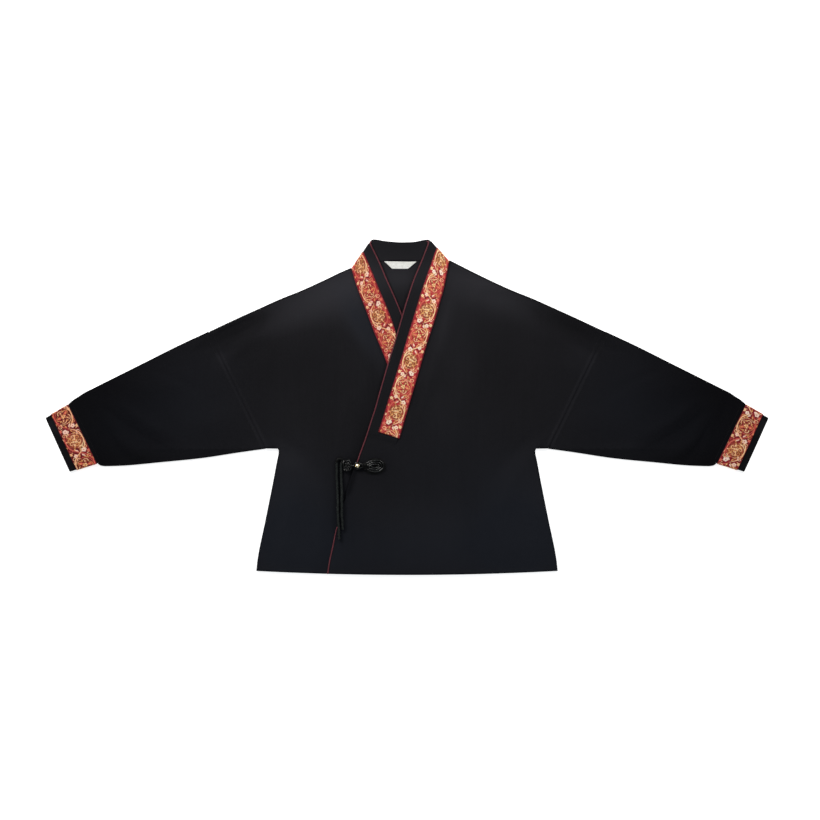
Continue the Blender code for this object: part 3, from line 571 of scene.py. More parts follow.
def tube(name, points, radius, mats, sides=14, closed=False, uv_scale=1.0, flat=1.0, up=(0, 0, 1)):
    """Round cord along points; radius may vary; ends close in a small dome."""
    p = np.asarray(points, float)
    r = np.broadcast_to(np.asarray(radius, float), (len(p),)).copy()
    if closed:
        q = np.vstack([p[-3:], p, p[:3]])
        t, a, b = frames_along(q, up)
        t, a, b = t[3:-3], a[3:-3], b[3:-3]
        # spread the closing twist evenly
        end = a[-1] - np.dot(a[-1], t[0]) * t[0]
        end /= np.linalg.norm(end)
        ang = math.atan2(np.dot(np.cross(end, a[0]), t[0]), np.dot(end, a[0]))
        w = np.linspace(0, ang, len(p))[:, None]
        a, b = a * np.cos(w) + b * np.sin(w), b * np.cos(w) - a * np.sin(w)
    else:
        t, a, b = frames_along(p, up)
        # domed ends: three short rings before the first and after the last point
        lead = []
        for f in (1.0, 0.72, 0.36):
            lead.append((p[0] - t[0] * r[0] * 0.8 * f, r[0] * math.sqrt(1 - f * f * 0.97)))
        tail = []
        for f in (0.36, 0.72, 1.0):
            tail.append((p[-1] + t[-1] * r[-1] * 0.8 * f, r[-1] * math.sqrt(1 - f * f * 0.97)))
        p = np.vstack([[q for q, _ in lead], p, [q for q, _ in tail]])
        r = np.concatenate([[s for _, s in lead], r, [s for _, s in tail]])
        a = np.vstack([a[:1]] * 3 + [a] + [a[-1:]] * 3)
        b = np.vstack([b[:1]] * 3 + [b] + [b[-1:]] * 3)
    w = np.linspace(0, 2 * math.pi, sides, endpoint=False)
    ring = (a[:, None] * np.cos(w)[None, :, None] * flat + b[:, None] * np.sin(w)[None, :, None])
    verts = p[:, None] + ring * r[:, None, None]
    n = len(p)
    idx = np.arange(n * sides).reshape(n, sides)
    idx = np.concatenate([idx, idx[:, :1]], axis=1)
    if closed:
        idx = np.concatenate([idx, idx[:1]], axis=0)
    faces = [grid_faces(idx, True)]
    run = np.concatenate([[0], np.cumsum(np.linalg.norm(np.diff(p, axis=0), axis=1))])
    uv = np.stack(np.broadcast_arrays(run[:, None] * uv_scale, (w / (2 * math.pi))[None, :]), -1)
    verts, uv = verts.reshape(-1, 3), uv.reshape(-1, 2)
    if not closed:
        verts = np.vstack([verts, p[0] - t[0] * r[0] * 0.05, p[-1] + t[-1] * r[-1] * 0.05])
        uv = np.vstack([uv, uv[0], uv[-1]])
        c0, c1 = n * sides, n * sides + 1
        first = np.stack([np.full(sides, c0), idx[0, :-1], idx[0, 1:]], -1)
        last = np.stack([np.full(sides, c1), idx[-1, 1:], idx[-1, :-1]], -1)
        faces += [first, last]
    return mesh_object(name, verts, faces, mats, uv=uv)


# --------------------------------------------------------------- materials
class Graph:
    """A node material built step by step."""

    def __init__(self, name):
        self.mat = bpy.data.materials.new(name)
        self.mat.use_nodes = True
        self.tree = self.mat.node_tree
        self.shader = self.tree.nodes["Principled BSDF"]
        self.coord = self.tree.nodes.new("ShaderNodeTexCoord")

    def node(self, kind, inputs=None, **props):
        n = self.tree.nodes.new(kind)
        for k, v in props.items():
            setattr(n, k, v)
        for k, v in (inputs or {}).items():
            if hasattr(v, "is_output"):
                self.tree.links.new(v, n.inputs[k])
            else:
                n.inputs[k].default_value = v
        return n

    def place(self, space, scale, rotation=(0, 0, 0)):
        """Coordinates ('Object' in metres or 'UV' in threads) times a scale."""
        return self.node("ShaderNodeMapping", {"Vector": self.coord.outputs[space],
                                               "Scale": scale, "Rotation": rotation}).outputs[0]

    def noise(self, vector, scale, detail=2.0, rough=0.5, distort=0.0):
        return self.node("ShaderNodeTexNoise", {"Vector": vector, "Scale": scale, "Detail": detail,
                                                "Roughness": rough, "Distortion": distort}).outputs["Fac"]

    def wave(self, vector, period, direction="X", distort=0.0, detail=0.0, profile="SIN"):
        factor = 10.0 if direction == "DIAGONAL" else 20.0
        return self.node("ShaderNodeTexWave",
                         {"Vector": vector, "Scale": 2 * math.pi / (factor * period),
                          "Distortion": distort, "Detail": detail},
                         wave_type="BANDS", bands_direction=direction,
                         wave_profile=profile).outputs["Fac"]

    def math(self, op, a, b=0.0, clamp=False):
        n = self.node("ShaderNodeMath", operation=op, use_clamp=clamp)
        for i, v in enumerate((a, b)):
            if hasattr(v, "is_output"):
                self.tree.links.new(v, n.inputs[i])
            else:
                n.inputs[i].default_value = v
        return n.outputs[0]

    def mix(self, fac, a, b, blend="MIX"):
        n = self.node("ShaderNodeMix", data_type="RGBA", blend_type=blend)
        for k, v in (("Factor", fac), ("A", a), ("B", b)):
            sock = [s for s in n.inputs if s.name == k and s.enabled
                    and s.type == ("VALUE" if k == "Factor" else "RGBA")][0]
            if hasattr(v, "is_output"):
                self.tree.links.new(v, sock)
            else:
                sock.default_value = v if k == "Factor" else (*v[:3], 1.0)
        return [s for s in n.outputs if s.type == "RGBA"][0]

    def remap(self, v, lo, hi, a=0.0, b=1.0):
        return self.node("ShaderNodeMapRange", {"Value": v, "From Min": a, "From Max": b,
                                                "To Min": lo, "To Max": hi}).outputs[0]

    def bump(self, height, distance, strength=1.0, normal=None):
        ins = {"Height": height, "Distance": distance, "Strength": strength}
        if normal is not None:
            ins["Normal"] = normal
        return self.node("ShaderNodeBump", ins).outputs[0]

    def painted_shade_share(self, share=0.24):
        """Share of painted shade on the ribbon: at the cuffs, and a little on the underlap."""
        sep = self.node("ShaderNodeSeparateXYZ", {"Vector": self.place("Object", (1, 1, 1))})
        out = self.math("ABSOLUTE", sep.outputs[0], 0.0)
        cuffs = self.math("MULTIPLY", self.remap(out, 0.0, share, 0.50, 0.66),
                          self.remap(sep.outputs[0], 1.0, 0.74, -0.1, 0.1))
        left = self.math("MULTIPLY", self.remap(sep.outputs[0], 0.26, 0.0, -0.034, -0.026),
                         self.remap(sep.outputs[1], 0.0, 1.0, 0.055, 0.065))
        return self.math("MAXIMUM", cuffs, left)

    def finish(self, color, rough, normal=None, **constants):
        link = self.tree.links.new
        for sock, v in (("Base Color", color), ("Roughness", rough)):
            if hasattr(v, "is_output"):
                link(v, self.shader.inputs[sock])
            elif sock == "Base Color":
                self.shader.inputs[sock].default_value = (*v[:3], 1)
            else:
                self.shader.inputs[sock].default_value = v
        if normal is not None:
            link(normal, self.shader.inputs["Normal"])
        for k, v in constants.items():
            self.shader.inputs[k.replace("_", " ")].default_value = v
        return self.mat


def srgb(r, g, b):
    """Linear colour from 0-255 display values."""
    def lin(c):
        c /= 255.0
        return c / 12.92 if c <= 0.04045 else ((c + 0.055) / 1.055) ** 2.4
    return (lin(r), lin(g), lin(b))


def wool(name, dark, light, pitch=0.00085, nap=1.0, spec=0.035, sheen=0.014, turn=0.0):
    """Fine black wool twill: diagonal weave, short nap, faint slubs and lint."""
    g = Graph(name)
    at = g.place("Object", (1, 1, 1), (0, 0, turn))
    twill = g.wave(at, pitch, "DIAGONAL", distort=0.6, detail=1.0)
    weft = g.wave(at, pitch * 0.62, "Y", distort=0.5, detail=1.0)
    nap_fine = g.noise(at, 2600.0, 3.0, 0.65)
    nap_mid = g.noise(at, 420.0, 3.0, 0.6)
    slub = g.noise(g.place("Object", (520, 9, 520)), 1.0, 2.0, 0.55)
    cloud = g.noise(at, 9.0, 3.0, 0.5)
    tone = g.math("ADD", g.math("MULTIPLY", nap_mid, 0.45), g.math("MULTIPLY", slub, 0.30))
    tone = g.math("ADD", tone, g.math("MULTIPLY", cloud, 0.35))
    tone = g.remap(tone, 0.0, 1.0, 0.34, 0.76)
    color = g.mix(tone, dark, light)
    # painted shade out along the sleeves, and a painted highlight on the upper body near the neck and shoulders
    sep = g.node("ShaderNodeSeparateXYZ", {"Vector": at})
    out = g.math("ABSOLUTE", sep.outputs[0], 0.0)
    deep = g.remap(out, 0.0, 0.85, 0.24, 0.61)
    color = g.mix(deep, color, (0.16 * dark[0], 0.13 * dark[1], 0.19 * dark[2]))
    high = g.math("MULTIPLY", g.remap(sep.outputs[1], 0.0, 0.34, 0.05, 0.30),
                  g.remap(out, 1.0, 0.0, 0.05, 0.34))
    color = g.mix(high, color, tuple(1.9 * c for c in light))
    tone = g.node("ShaderNodeAttribute", {}, attribute_name="tone").outputs["Fac"]
    cool = g.node("ShaderNodeAttribute", {}, attribute_name="cool").outputs["Fac"]
    # painted light and shade from the tone attribute: lighter above one half, darker below
    color = g.mix(g.remap(tone, 0.0, 1.0, 0.5, 1.0), color, tuple(3.2 * c for c in light))
    color = g.mix(g.remap(tone, 0.0, 0.9, 0.5, 0.0), color, tuple(0.3 * c for c in dark))
    # painted cool light from the cool attribute: the colour goes bluish
    color = g.mix(g.math("MULTIPLY", cool, 0.85), color, (0.0100, 0.0126, 0.0186))
    weave = g.math("ADD", g.math("MULTIPLY", twill, 0.7), g.math("MULTIPLY", weft, 0.3))
    color = g.mix(g.math("MULTIPLY", weave, 0.35), color, tuple(1.5 * c for c in light))
    # more painted shade towards the cuffs
    color = g.mix(g.remap(out, 0.0, 0.50, 0.44, 0.61), color, (0.16 * dark[0], 0.13 * dark[1], 0.19 * dark[2]))
    rough = g.remap(g.math("ADD", g.math("MULTIPLY", nap_fine, 0.6), g.math("MULTIPLY", cloud, 0.4)),
                    0.72, 0.98, 0.3, 0.7)
    n = g.bump(g.noise(at, 55.0, 2.0, 0.5), 0.0011, 0.35)
    n = g.bump(nap_mid, 0.00035, 0.55 * nap, n)
    n = g.bump(weave, 0.00016, 0.8, n)
    n = g.bump(nap_fine, 0.00012, 0.7 * nap, n)
    return g.finish(color, rough, n, Specular_IOR_Level=spec, Sheen_Weight=sheen,
                    Sheen_Roughness=0.38, Sheen_Tint=(0.72, 0.78, 0.9, 1), Diffuse_Roughness=0.6)


def thread(name, base, shade, rough=0.42, pitch=0.42, spec=0.26, sheen=0.05, along=False, relief_mm=0.09, gap=0.42):
    """Silk-like pattern thread: laid floats with their own small relief."""
    g = Graph(name)
    uv = g.place("UV", (1, 1, 1))
    float_line = g.wave(uv, pitch, "Y" if along else "X", distort=0.35, detail=1.0)
    cut = g.wave(uv, pitch * 2.7, "X" if along else "Y", distort=0.8, detail=1.0)
    vary = g.noise(g.place("Object", (1, 1, 1)), 210.0, 2.0, 0.6)
    patch = g.noise(g.place("Object", (1, 1, 1)), 46.0, 1.0, 0.5)
    c = g.mix(g.remap(vary, 0.0, 1.0, 0.3, 0.7), shade, base)
    # painted shade in the grooves between the floats
    c = g.mix(g.math("MULTIPLY", g.math("SUBTRACT", 1.0, float_line), gap), c, tuple(0.45 * v for v in shade))
    c = g.mix(g.remap(patch, 0.0, 0.35, 0.45, 0.7), c, tuple(min(1.0, 1.25 * v) for v in base))
    # painted shade: darker and redder at the cuffs and a little on the underlap
    c = g.mix(g.painted_shade_share(0.34), c, (0.66 * shade[0], 0.22 * shade[1], 0.2 * shade[2]))
    r = g.remap(g.math("ADD", vary, g.math("MULTIPLY", cut, 0.4)), rough - 0.08, rough + 0.16, 0.3, 1.0)
    n = g.bump(float_line, relief_mm * MM, 0.9)
    n = g.bump(cut, relief_mm * 0.4 * MM, 0.5, n)
    return g.finish(c, r, n, Specular_IOR_Level=spec, Sheen_Weight=sheen, Sheen_Roughness=0.4,
                    Anisotropic=0.35)


def ribbon_ground(name):
    """Brick-red warp ground with salmon weft flecks, threads in both directions."""
    g = Graph(name)
    uv = g.place("UV", (1, 1, 1))
    warp = g.wave(uv, 0.36, "Y", distort=0.3, detail=1.0)
    weft = g.wave(uv, 0.46, "X", distort=0.5, detail=1.0)
    fleck = g.noise(g.place("UV", (0.9, 3.2, 1)), 1.0, 2.0, 0.6)
    patch = g.noise(uv, 0.16, 2.0, 0.5)
    c = g.mix(g.remap(patch, 0.0, 1.0, 0.38, 0.62), srgb(170, 30, 44), srgb(212, 70, 72))
    c = g.mix(g.remap(fleck, 0.0, 0.7, 0.57, 0.76), c, srgb(230, 106, 100))
    c = g.mix(g.math("MULTIPLY", warp, 0.35), c, srgb(112, 16, 28))
    # painted shade: the ground goes towards deep wine at the cuffs and a little on the underlap
    c = g.mix(g.painted_shade_share(0.84), c, srgb(74, 6, 14))
    r = g.remap(fleck, 0.45, 0.68, 0.3, 0.7)
    n = g.bump(warp, 0.00008, 0.8)
    n = g.bump(weft, 0.00007, 0.7, n)
    n = g.bump(fleck, 0.0001, 0.5, n)
    return g.finish(c, r, n, Specular_IOR_Level=0.16, Sheen_Weight=0.03, Sheen_Roughness=0.4)


def satin(name, base, light, pitch=2.6, rough=0.36, spec=0.5, sheen=0.2, weave=0.28, relief=1.0, tail=False):
    """Black satin cord: slanting fine threads that turn round it, soft gloss."""
    g = Graph(name)
    slant = g.place("UV", (1, pitch * 4, 1))
    turn = g.wave(slant, pitch * 0.28, "DIAGONAL", distort=0.3, detail=1.0)
    fine = g.wave(g.place("UV", (1, 40, 1)), weave, "X", distort=0.6, detail=1.0)
    vary = g.noise(g.place("Object", (1, 1, 1)), 160.0, 3.0, 0.6)
    c = g.mix(g.remap(vary, 0.0, 1.0, 0.3, 0.7), base, light)
    even = 0.25 if tail else 1.0
    r = g.remap(g.math("ADD", vary, g.math("MULTIPLY", fine, 0.25)), rough - 0.05 * even, rough + 0.12 * even, 0.3, 0.95)
    n = g.bump(turn, 0.00018, 0.55 * relief)
    n = g.bump(fine, 0.00008, 0.5 * relief, n)
    n = g.bump(vary, 0.0004, 0.25 * relief, n)
    return g.finish(c, r, n, Specular_IOR_Level=spec, Sheen_Weight=sheen, Sheen_Roughness=0.3,
                    Sheen_Tint=(0.75, 0.9, 0.85, 1), Anisotropic=0.4)


WOOL_DARK = (0.0084, 0.0080, 0.0092)
WOOL_LIGHT = (0.0134, 0.0130, 0.0152)
BLACK = wool("black_wool_twill", WOOL_DARK, WOOL_LIGHT)
BAND = wool("black_band_twill", WOOL_DARK, WOOL_LIGHT, pitch=0.0007, turn=1.2, spec=0.05)
STITCH = thread("black_thread", (0.011, 0.011, 0.013), (0.006, 0.006, 0.007), rough=0.6, spec=0.18, sheen=0.04)
SATIN = satin("black_satin_cord", (0.0012, 0.0014, 0.0014), (0.0032, 0.0038, 0.0036), rough=0.17, spec=0.42, sheen=0.01, relief=0.4)
# a darker, duller copy of the satin: painted shade, used at the loop's bindings, in the knot's core, under the coil and
# at the tails' bend
SATIN_SHADED = satin("black_satin_shaded", (0.0008, 0.0009, 0.0009), (0.0016, 0.0018, 0.0017), rough=0.45, spec=0.14, sheen=0.01, relief=0.6)
# lighter copy of the satin for the tails: its brighter base colour is in part a painted highlight
SATIN_TAIL = satin("black_satin_tail", (0.0058, 0.0072, 0.0068), (0.0118, 0.0146, 0.0136), pitch=4.2, rough=0.27, spec=0.5, sheen=0.01, relief=0.03, tail=True)
GROUND = ribbon_ground("brocade_ground")
CREAM = thread("thread_cream", srgb(255, 229, 178), srgb(255, 198, 138), gap=0.2)
PALE = thread("thread_pale_pink", srgb(255, 242, 222), srgb(255, 216, 188), gap=0.14)
SALMON = thread("thread_salmon", srgb(244, 134, 106), srgb(216, 84, 74))
GOLDEN = thread("thread_gold", srgb(255, 204, 128), srgb(234, 154, 84))
OLIVE = thread("thread_olive", srgb(170, 112, 56), srgb(118, 70, 38))
CRIMSON = thread("thread_crimson", srgb(158, 12, 42), srgb(104, 5, 26))
SELVEDGE = thread("thread_selvedge", srgb(146, 30, 46), srgb(96, 14, 28), along=True)
DEEP = thread("thread_deep_brown", srgb(190, 100, 64), srgb(140, 62, 42))
THREADS = [CREAM, PALE, SALMON, GOLDEN, OLIVE, CRIMSON, SELVEDGE, DEEP]
C_CREAM, C_PALE, C_SALMON, C_GOLD, C_OLIVE, C_CRIMSON, C_SELV, C_DEEP = range(8)


def wine_cloth(name):
    """Bias-cut wine cotton drawn round the piping cord."""
    g = Graph(name)
    uv = g.place("UV", (1, 10, 1))
    bias = g.wave(uv, 0.55, "DIAGONAL", distort=0.4, detail=1.0)
    vary = g.noise(g.place("Object", (1, 1, 1)), 130.0, 3.0, 0.6)
    c = g.mix(g.remap(vary, 0.0, 1.0, 0.3, 0.7), srgb(80, 21, 32), srgb(110, 42, 52))
    c = g.mix(g.math("MULTIPLY", bias, 0.3), c, srgb(124, 60, 70))
    n = g.bump(bias, 0.00012, 0.8)
    n = g.bump(vary, 0.0004, 0.3, n)
    return g.finish(c, g.remap(vary, 0.55, 0.8, 0.3, 0.7), n, Specular_IOR_Level=0.3,
                    Sheen_Weight=0.2, Sheen_Roughness=0.4)


def label_cloth(name):
    """White woven satin label: fine ribs, slightly uneven."""
    g = Graph(name)
    at = g.place("Object", (1, 1, 1))
    rib = g.wave(at, 0.00042, "X", distort=0.3, detail=1.0)
    cross = g.wave(at, 0.0006, "Y", distort=0.4, detail=1.0)
    vary = g.noise(at, 300.0, 2.0, 0.6)
    c = g.mix(g.remap(vary, 0.0, 1.0, 0.35, 0.65), (0.67, 0.67, 0.63), (0.78, 0.79, 0.75))
    c = g.mix(g.math("MULTIPLY", rib, 0.12), c, (0.6, 0.59, 0.56))
    n = g.bump(rib, 0.00008, 0.7)
    n = g.bump(cross, 0.00005, 0.5, n)
    return g.finish(c, g.remap(vary, 0.5, 0.7, 0.3, 0.7), n, Specular_IOR_Level=0.35, Sheen_Weight=0.15)


def gold_metal(name):
    """Pale gold plating, lightly brushed and rubbed."""
    g = Graph(name)
    at = g.place("Object", (1, 1, 1))
    rub = g.noise(at, 700.0, 3.0, 0.6)
    cloud = g.noise(at, 160.0, 2.0, 0.5)
    c = g.mix(g.remap(cloud, 0.0, 1.0, 0.35, 0.65), (0.86, 0.68, 0.36), (0.95, 0.84, 0.58))
    n = g.bump(rub, 0.00006, 0.4)
    return g.finish(c, g.remap(rub, 0.16, 0.36, 0.3, 0.7), n, Metallic=1.0)


WINE = wine_cloth("wine_piping_cloth")
LABEL = label_cloth("white_label_cloth")
GOLD = gold_metal("pale_gold")
LABEL_THREAD = thread("white_thread", (0.7, 0.69, 0.66), (0.55, 0.54, 0.5), rough=0.5)


# ------------------------------------------------------------ piece records
SHEETS = []          # (object, flat size, held, rests on, measured later)


def adopt(ob, slot, *nodes):
    """The piece rides on the one body and stands for its CAD solids."""
    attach(ob, "root")
    if nodes:
        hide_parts(*nodes)
    return ob


# ------------------------------------------------------------- body panels
HALF = CLOTH / 2
SEAM_Z = 1.25           # height at which front and back meet in the side seam


def body_side(y):
    """Outer limit of the body on the wearer's right, just past the armhole seam."""
    y = np.asarray(y, float)
    return np.where(y > ARMHOLE[0][1], upper_x(y),
                    np.where(y > ARMHOLE[1][1] - 0.01, armhole_x(y) - 0.3, side_x(y)))


def neck_line():
    pts = sorted([(-112.5, 276.0), (-109.8, 274.0), (82.8, 289.1), (85.6, 291.4)]
                 + [(r[2], r[3]) for r in BACK_SECTIONS])
    return np.array(pts, float)


NECK_PTS = neck_line()


def neck_y(x):
    return np.interp(x, NECK_PTS[:, 0], NECK_PTS[:, 1])


LEVEL = -290.0          # rows above this height run straight across


def inner_share(y):
    """Share of the side's distance at which the even inner columns end."""
    y = np.asarray(y, float)
    return np.where(y > 150, 0.85, np.where(y > -83.2, lerp(0.82, 0.85, (y + 83.2) / 233.2),
                                            lerp(0.903, 0.86, np.clip((-83.2 - y) / 250.0, 0, 1))))


def spread(xl, xr, y, cols, sides):
    """Column positions of a row; near a sewn side a band of its own takes the step."""
    outer = max(6, int(cols * 0.13))
    inner = cols - outer * len(sides)
    knots_x, knots_t = [xl], [0.0]
    if "l" in sides:
        knots_x.append(xl * float(inner_share(y)))
        knots_t.append(outer / cols)
    if "r" in sides:
        knots_x.append(xr * float(inner_share(y)))
        knots_t.append(1 - outer / cols)
    knots_x.append(xr)
    knots_t.append(1.0)
    t = np.linspace(0, 1, cols + 1)[1:-1]
    x = np.interp(t, knots_t, knots_x)
    x = np.clip(x, xl + 1.9, xr - 1.9)
    return np.concatenate([xl + EDGE, x, xr - EDGE[::-1]]) - xl


def panel(name, left, right, top_x, top_y, mid_fn, cols, step, mats, seams, free_edge=None):
    """One body panel as a shell; left/right give its limits, seams which sides pinch."""
    rows_x, rows_y, rows_d, kind = [], [], [], []
    hem_v = np.concatenate([EDGE / 44.0, np.linspace(1.5 / 44.0, 1, int(44 / step) + 1)[1:]])
    for v in hem_v:
        ends = []
        for f in (left, right):
            x = float(f(LEVEL))
            for _ in range(4):
                y = float(hem_y(x)) + v * (LEVEL - float(hem_y(x)))
                x = float(f(y))
            ends.append(x)
        w = ends[1] - ends[0]
        off = spread(ends[0], ends[1], LEVEL, cols, seams)
        x = ends[0] + off
        y = hem_y(x) + v * (LEVEL - hem_y(x))
        rows_x.append(x)
        rows_y.append(y)
        rows_d.append(np.minimum(np.minimum(off, w - off), v * 44.0))
        kind.append(float(y.mean()))
    ys = list(np.arange(LEVEL + step, 268.0, step))
    ys = [y for y in ys if not -88.5 < y < -79.5] + [-80.5, -82.0, -82.9, -83.0, -83.35, -84.0, -84.8, -86.2, -88.0]
    for y in sorted(ys):
        xl, xr = float(left(y)), float(right(y))
        w = xr - xl
        off = spread(xl, xr, y, cols, seams)
        rows_x.append(xl + off)
        rows_y.append(np.full(len(off), y))
        rows_d.append(np.minimum(off, w - off))
        kind.append(y)
    xl, xr = float(left(269.0)), float(right(269.0))
    span = max(2.0, float(np.max(top_y(np.linspace(top_x[0], top_x[1], 9)))) - 269.0)
    top_t = np.concatenate([np.linspace(0, 1 - 1.5 / span, max(3, int(span / step) + 1)),
                            1 - EDGE[::-1][1:] / span])
    for t in top_t:
        a, b = lerp(xl, top_x[0], t), lerp(xr, top_x[1], t)
        off = spread(a, b, 269.0, cols, seams)
        x = a + off
        y = lerp(269.0, top_y(x), t)
        rows_x.append(x)
        rows_y.append(y)
        rows_d.append(np.minimum(np.minimum(off, b - a - off), (1 - t) * span))
        kind.append(269.0 + t)
    x, y, d = np.array(rows_x), np.array(rows_y), np.array(rows_d)
    z = mid_fn(x, y)
    # where the panel is sewn to the other side, it turns in to the seam
    off_l = np.hypot(x - x[:, :1], 0)
    off_r = np.hypot(x - x[:, -1:], 0)
    sewn = 1 - smooth(-81, -84, y) * 0 - ((y < ARMHOLE[0][1]) & (y > ARMHOLE[1][1] - 0.02)) * 1.0
    for side, off in (("l", off_l), ("r", off_r)):
        if side in seams:
            slope = np.where(y > 150, 0.45, 1.0)         # shoulder runs slantwise
            w = (1 - np.clip(off * slope / 2.8, 0, 1)) ** 2 * np.clip(sewn, 0, 1)
            z = lerp(z, SEAM_Z, 0.94 * w)
    mid = np.stack([x, y, z], -1)
    if free_edge is not None:
        mid = free_edge(mid, off_l, off_r)
    # hem is a turned fold, a little thicker, with a shallow line above it
    hem_d = y - hem_y(x)
    extra = 0.22 * (1 - smooth(5.0, 8.2, hem_d)) * smooth(0, 2, hem_d) - 0.14 * np.exp(-((hem_d - 8.8) / 0.8) ** 2)
    if mid_fn is back_mid:
        extra = None
    return shell(name, mid, HALF * round_over(d), mats, extra_top=extra, upright=True)


def roll_of(y):
    """Share by which the overlap's edge has rolled over its piping."""
    y = np.asarray(y, float)
    roll = smooth(-112, -126, y) * (1 - smooth(-233, -243, y))
    return roll * (1 - 0.45 * np.exp(-((y + 183) / 6.0) ** 2))


def over_left(y):
    return over_edge(y) + 1.0 - 4.6 * roll_of(y)


def roll_up(mid, off_l, off_r):
    r = roll_of(mid[..., 1]) * np.exp(-(off_l / 5.5) ** 2)
    mid = mid.copy()
    mid[..., 2] += 2.3 * r
    return mid


back = panel("back_cloth", body_side, lambda y: -body_side(y), (-112.5, 85.6),
             lambda x: neck_y(x) + 2.0, back_mid, 96, 5.2, [BLACK], "lr")
front_right = panel("front_right_cloth", body_side, lambda y: under_edge(y) - 1.0,
                    (-112.5, float(under_edge(272.0)) - 1.0),
                    lambda x: np.minimum(neck_y(x) - 0.9, 272.8), front_mid, 104, 3.2, [BLACK], "l")
front_left = panel("front_left_cloth", over_left, lambda y: -body_side(y),
                   (float(over_edge(287.0)) + 1.0, 85.6),
                   lambda x: np.minimum(neck_y(x) - 0.9, 287.4), over_front_mid, 142, 3.1, [BLACK], "r",
                   free_edge=roll_up)
adopt(back, "black_cloth", "back")
adopt(front_right, "black_cloth", "front_right")
adopt(front_left, "black_cloth", "front_left")


# ----------------------------------------------------------- flattened tubes
def bulge(t):
    """Rise across a flattened tube's top layer, nothing at its two folds."""
    return np.sin(math.pi * np.clip(t, 0, 1)) ** 0.7


def ring_points(up, lo, z_low, z_high, rise, n_top, n_low, n_end, side):
    """Mid lines of flattened tubes between upper and lower plan corners.

    up, lo: R x 2 corners; z_low, z_high: R heights; rise(x, y, t) lifts the top.
    Order: top from upper to lower corner, lower fold, underside, upper fold.
    """
    up, lo = np.asarray(up, float), np.asarray(lo, float)
    r = (z_high - z_low) / 2
    d = lo - up
    d /= np.linalg.norm(d, axis=1, keepdims=True)
    a, b = up + d * r[:, None], lo - d * r[:, None]
    parts = []
    t = (1 - np.cos(np.linspace(0, math.pi, n_top + 1))) / 2 * 0.35 + np.linspace(0, 1, n_top + 1) * 0.65
    xy = a[:, None] + (b - a)[:, None] * t[None, :, None]
    sx = -xy[..., 0] if side > 0 else xy[..., 0]
    z = z_high[:, None] + rise(sx, xy[..., 1], t[None, :])
    parts.append(np.concatenate([xy, z[..., None]], -1))
    w = np.linspace(0, math.pi, n_end + 1)[1:-1]
    xy = b[:, None] + d[:, None] * (r[:, None] * np.sin(w))[..., None]
    z = (z_low + r)[:, None] + r[:, None] * np.cos(w)
    parts.append(np.concatenate([xy, z[..., None]], -1))
    t = np.linspace(1, 0, n_low + 1)
    xy = a[:, None] + (b - a)[:, None] * t[None, :, None]
    z = np.broadcast_to(z_low[:, None], xy.shape[:2])
    parts.append(np.concatenate([xy, z[..., None]], -1))
    xy = a[:, None] - d[:, None] * (r[:, None] * np.sin(w))[..., None]
    z = (z_low + r)[:, None] - r[:, None] * np.cos(w)
    parts.append(np.concatenate([xy, z[..., None]], -1))
    ring = np.concatenate(parts, axis=1)
    if side > 0:
        ring[..., 0] *= -1
        ring = ring[:, ::-1]
    return ring


def outward(grid):
    """Columns turned, if needed, so that the loft's normals point outwards."""
    n = normals_of(grid, closed=True)
    centre = grid.mean(axis=1, keepdims=True)
    if ((grid - centre) * n).sum(-1).mean() < 0:
        grid = grid[:, ::-1]
    return grid


SECTION_U = (0.0, 0.07, 0.15, 0.23, 0.31, 0.39, 0.47, 0.55, 0.63, 0.70, 0.76, 0.82, 0.87, 0.915, 0.95, 0.98, 1.0)
SECTION_L = (0.0, 0.075, 0.155, 0.24, 0.32, 0.40, 0.48, 0.565, 0.65, 0.73, 0.80, 0.86, 0.91, 0.95, 0.975, 0.99, 1.0)


def build_sleeve(side, name):
    n = 100
    length = 300.0
    s = np.concatenate([EDGE / length, np.linspace(1.5 / length, 1 - 1.5 / length, n)[1:-1], 1 - EDGE[::-1] / length])
    sl = np.interp(s, SECTION_U, SECTION_L)
    ux = lerp(ARMHOLE[0][0] + 0.6, CUFF_SEAM[0][0] - 1.1, s)
    lx = lerp(ARMHOLE[1][0] + 0.6, CUFF_SEAM[1][0] - 1.1, sl)
    up = np.stack([ux, upper_at(ux)], -1)
    lo = np.stack([lx, lower_at(lx)], -1)
    at_cuff = smooth(0.952, 1.0, s)
    z_low = np.full(len(s), BACK_MID + 0.1)
    z_high = lerp(FRONT_MID + 0.05, CUFF_HIGH + 0.25, at_cuff)
    d_end = np.minimum(s, 1 - s) * length
    loft = lerp(LOFT_SLEEVE, 0.9, smooth(0.8, 1.0, s)) * smooth(-0.02, 0.16, s)

    def rise(x, y, t):
        edge = smooth(0.0, 0.09, t) * (1 - smooth(0.91, 1.0, t))
        fold = CREASE_GAIN * crease_sum(CREASES, -x if side > 0 else x, y)
        body = swell_at_armhole(x, y) * (1 - smooth(0.0, 0.16, s))[:, None]
        lift = loft[:, None] * bulge(t) + fold * edge + body * edge
        low = -0.35
        lift = np.where(lift < low, low, lift)
        puckers = 0.16 * np.sin(t * 61 + 1.3 * side) * np.sin(t * 23) * smooth(0.93, 0.985, s)[:, None] * edge
        return lift + seam_ridge(x, y) * edge + puckers

    ring = outward(ring_points(up, lo, z_low, z_high, rise, 66, 34, 8, side))
    half = np.broadcast_to((HALF * round_over(d_end))[:, None], ring.shape[:2])
    ob = tube_shell(name, ring, half, [BLACK])
    return adopt(ob, "black_cloth", "sleeve_right" if side < 0 else "sleeve_left")


def swell_at_armhole(x, y):
    return swell(x, y)


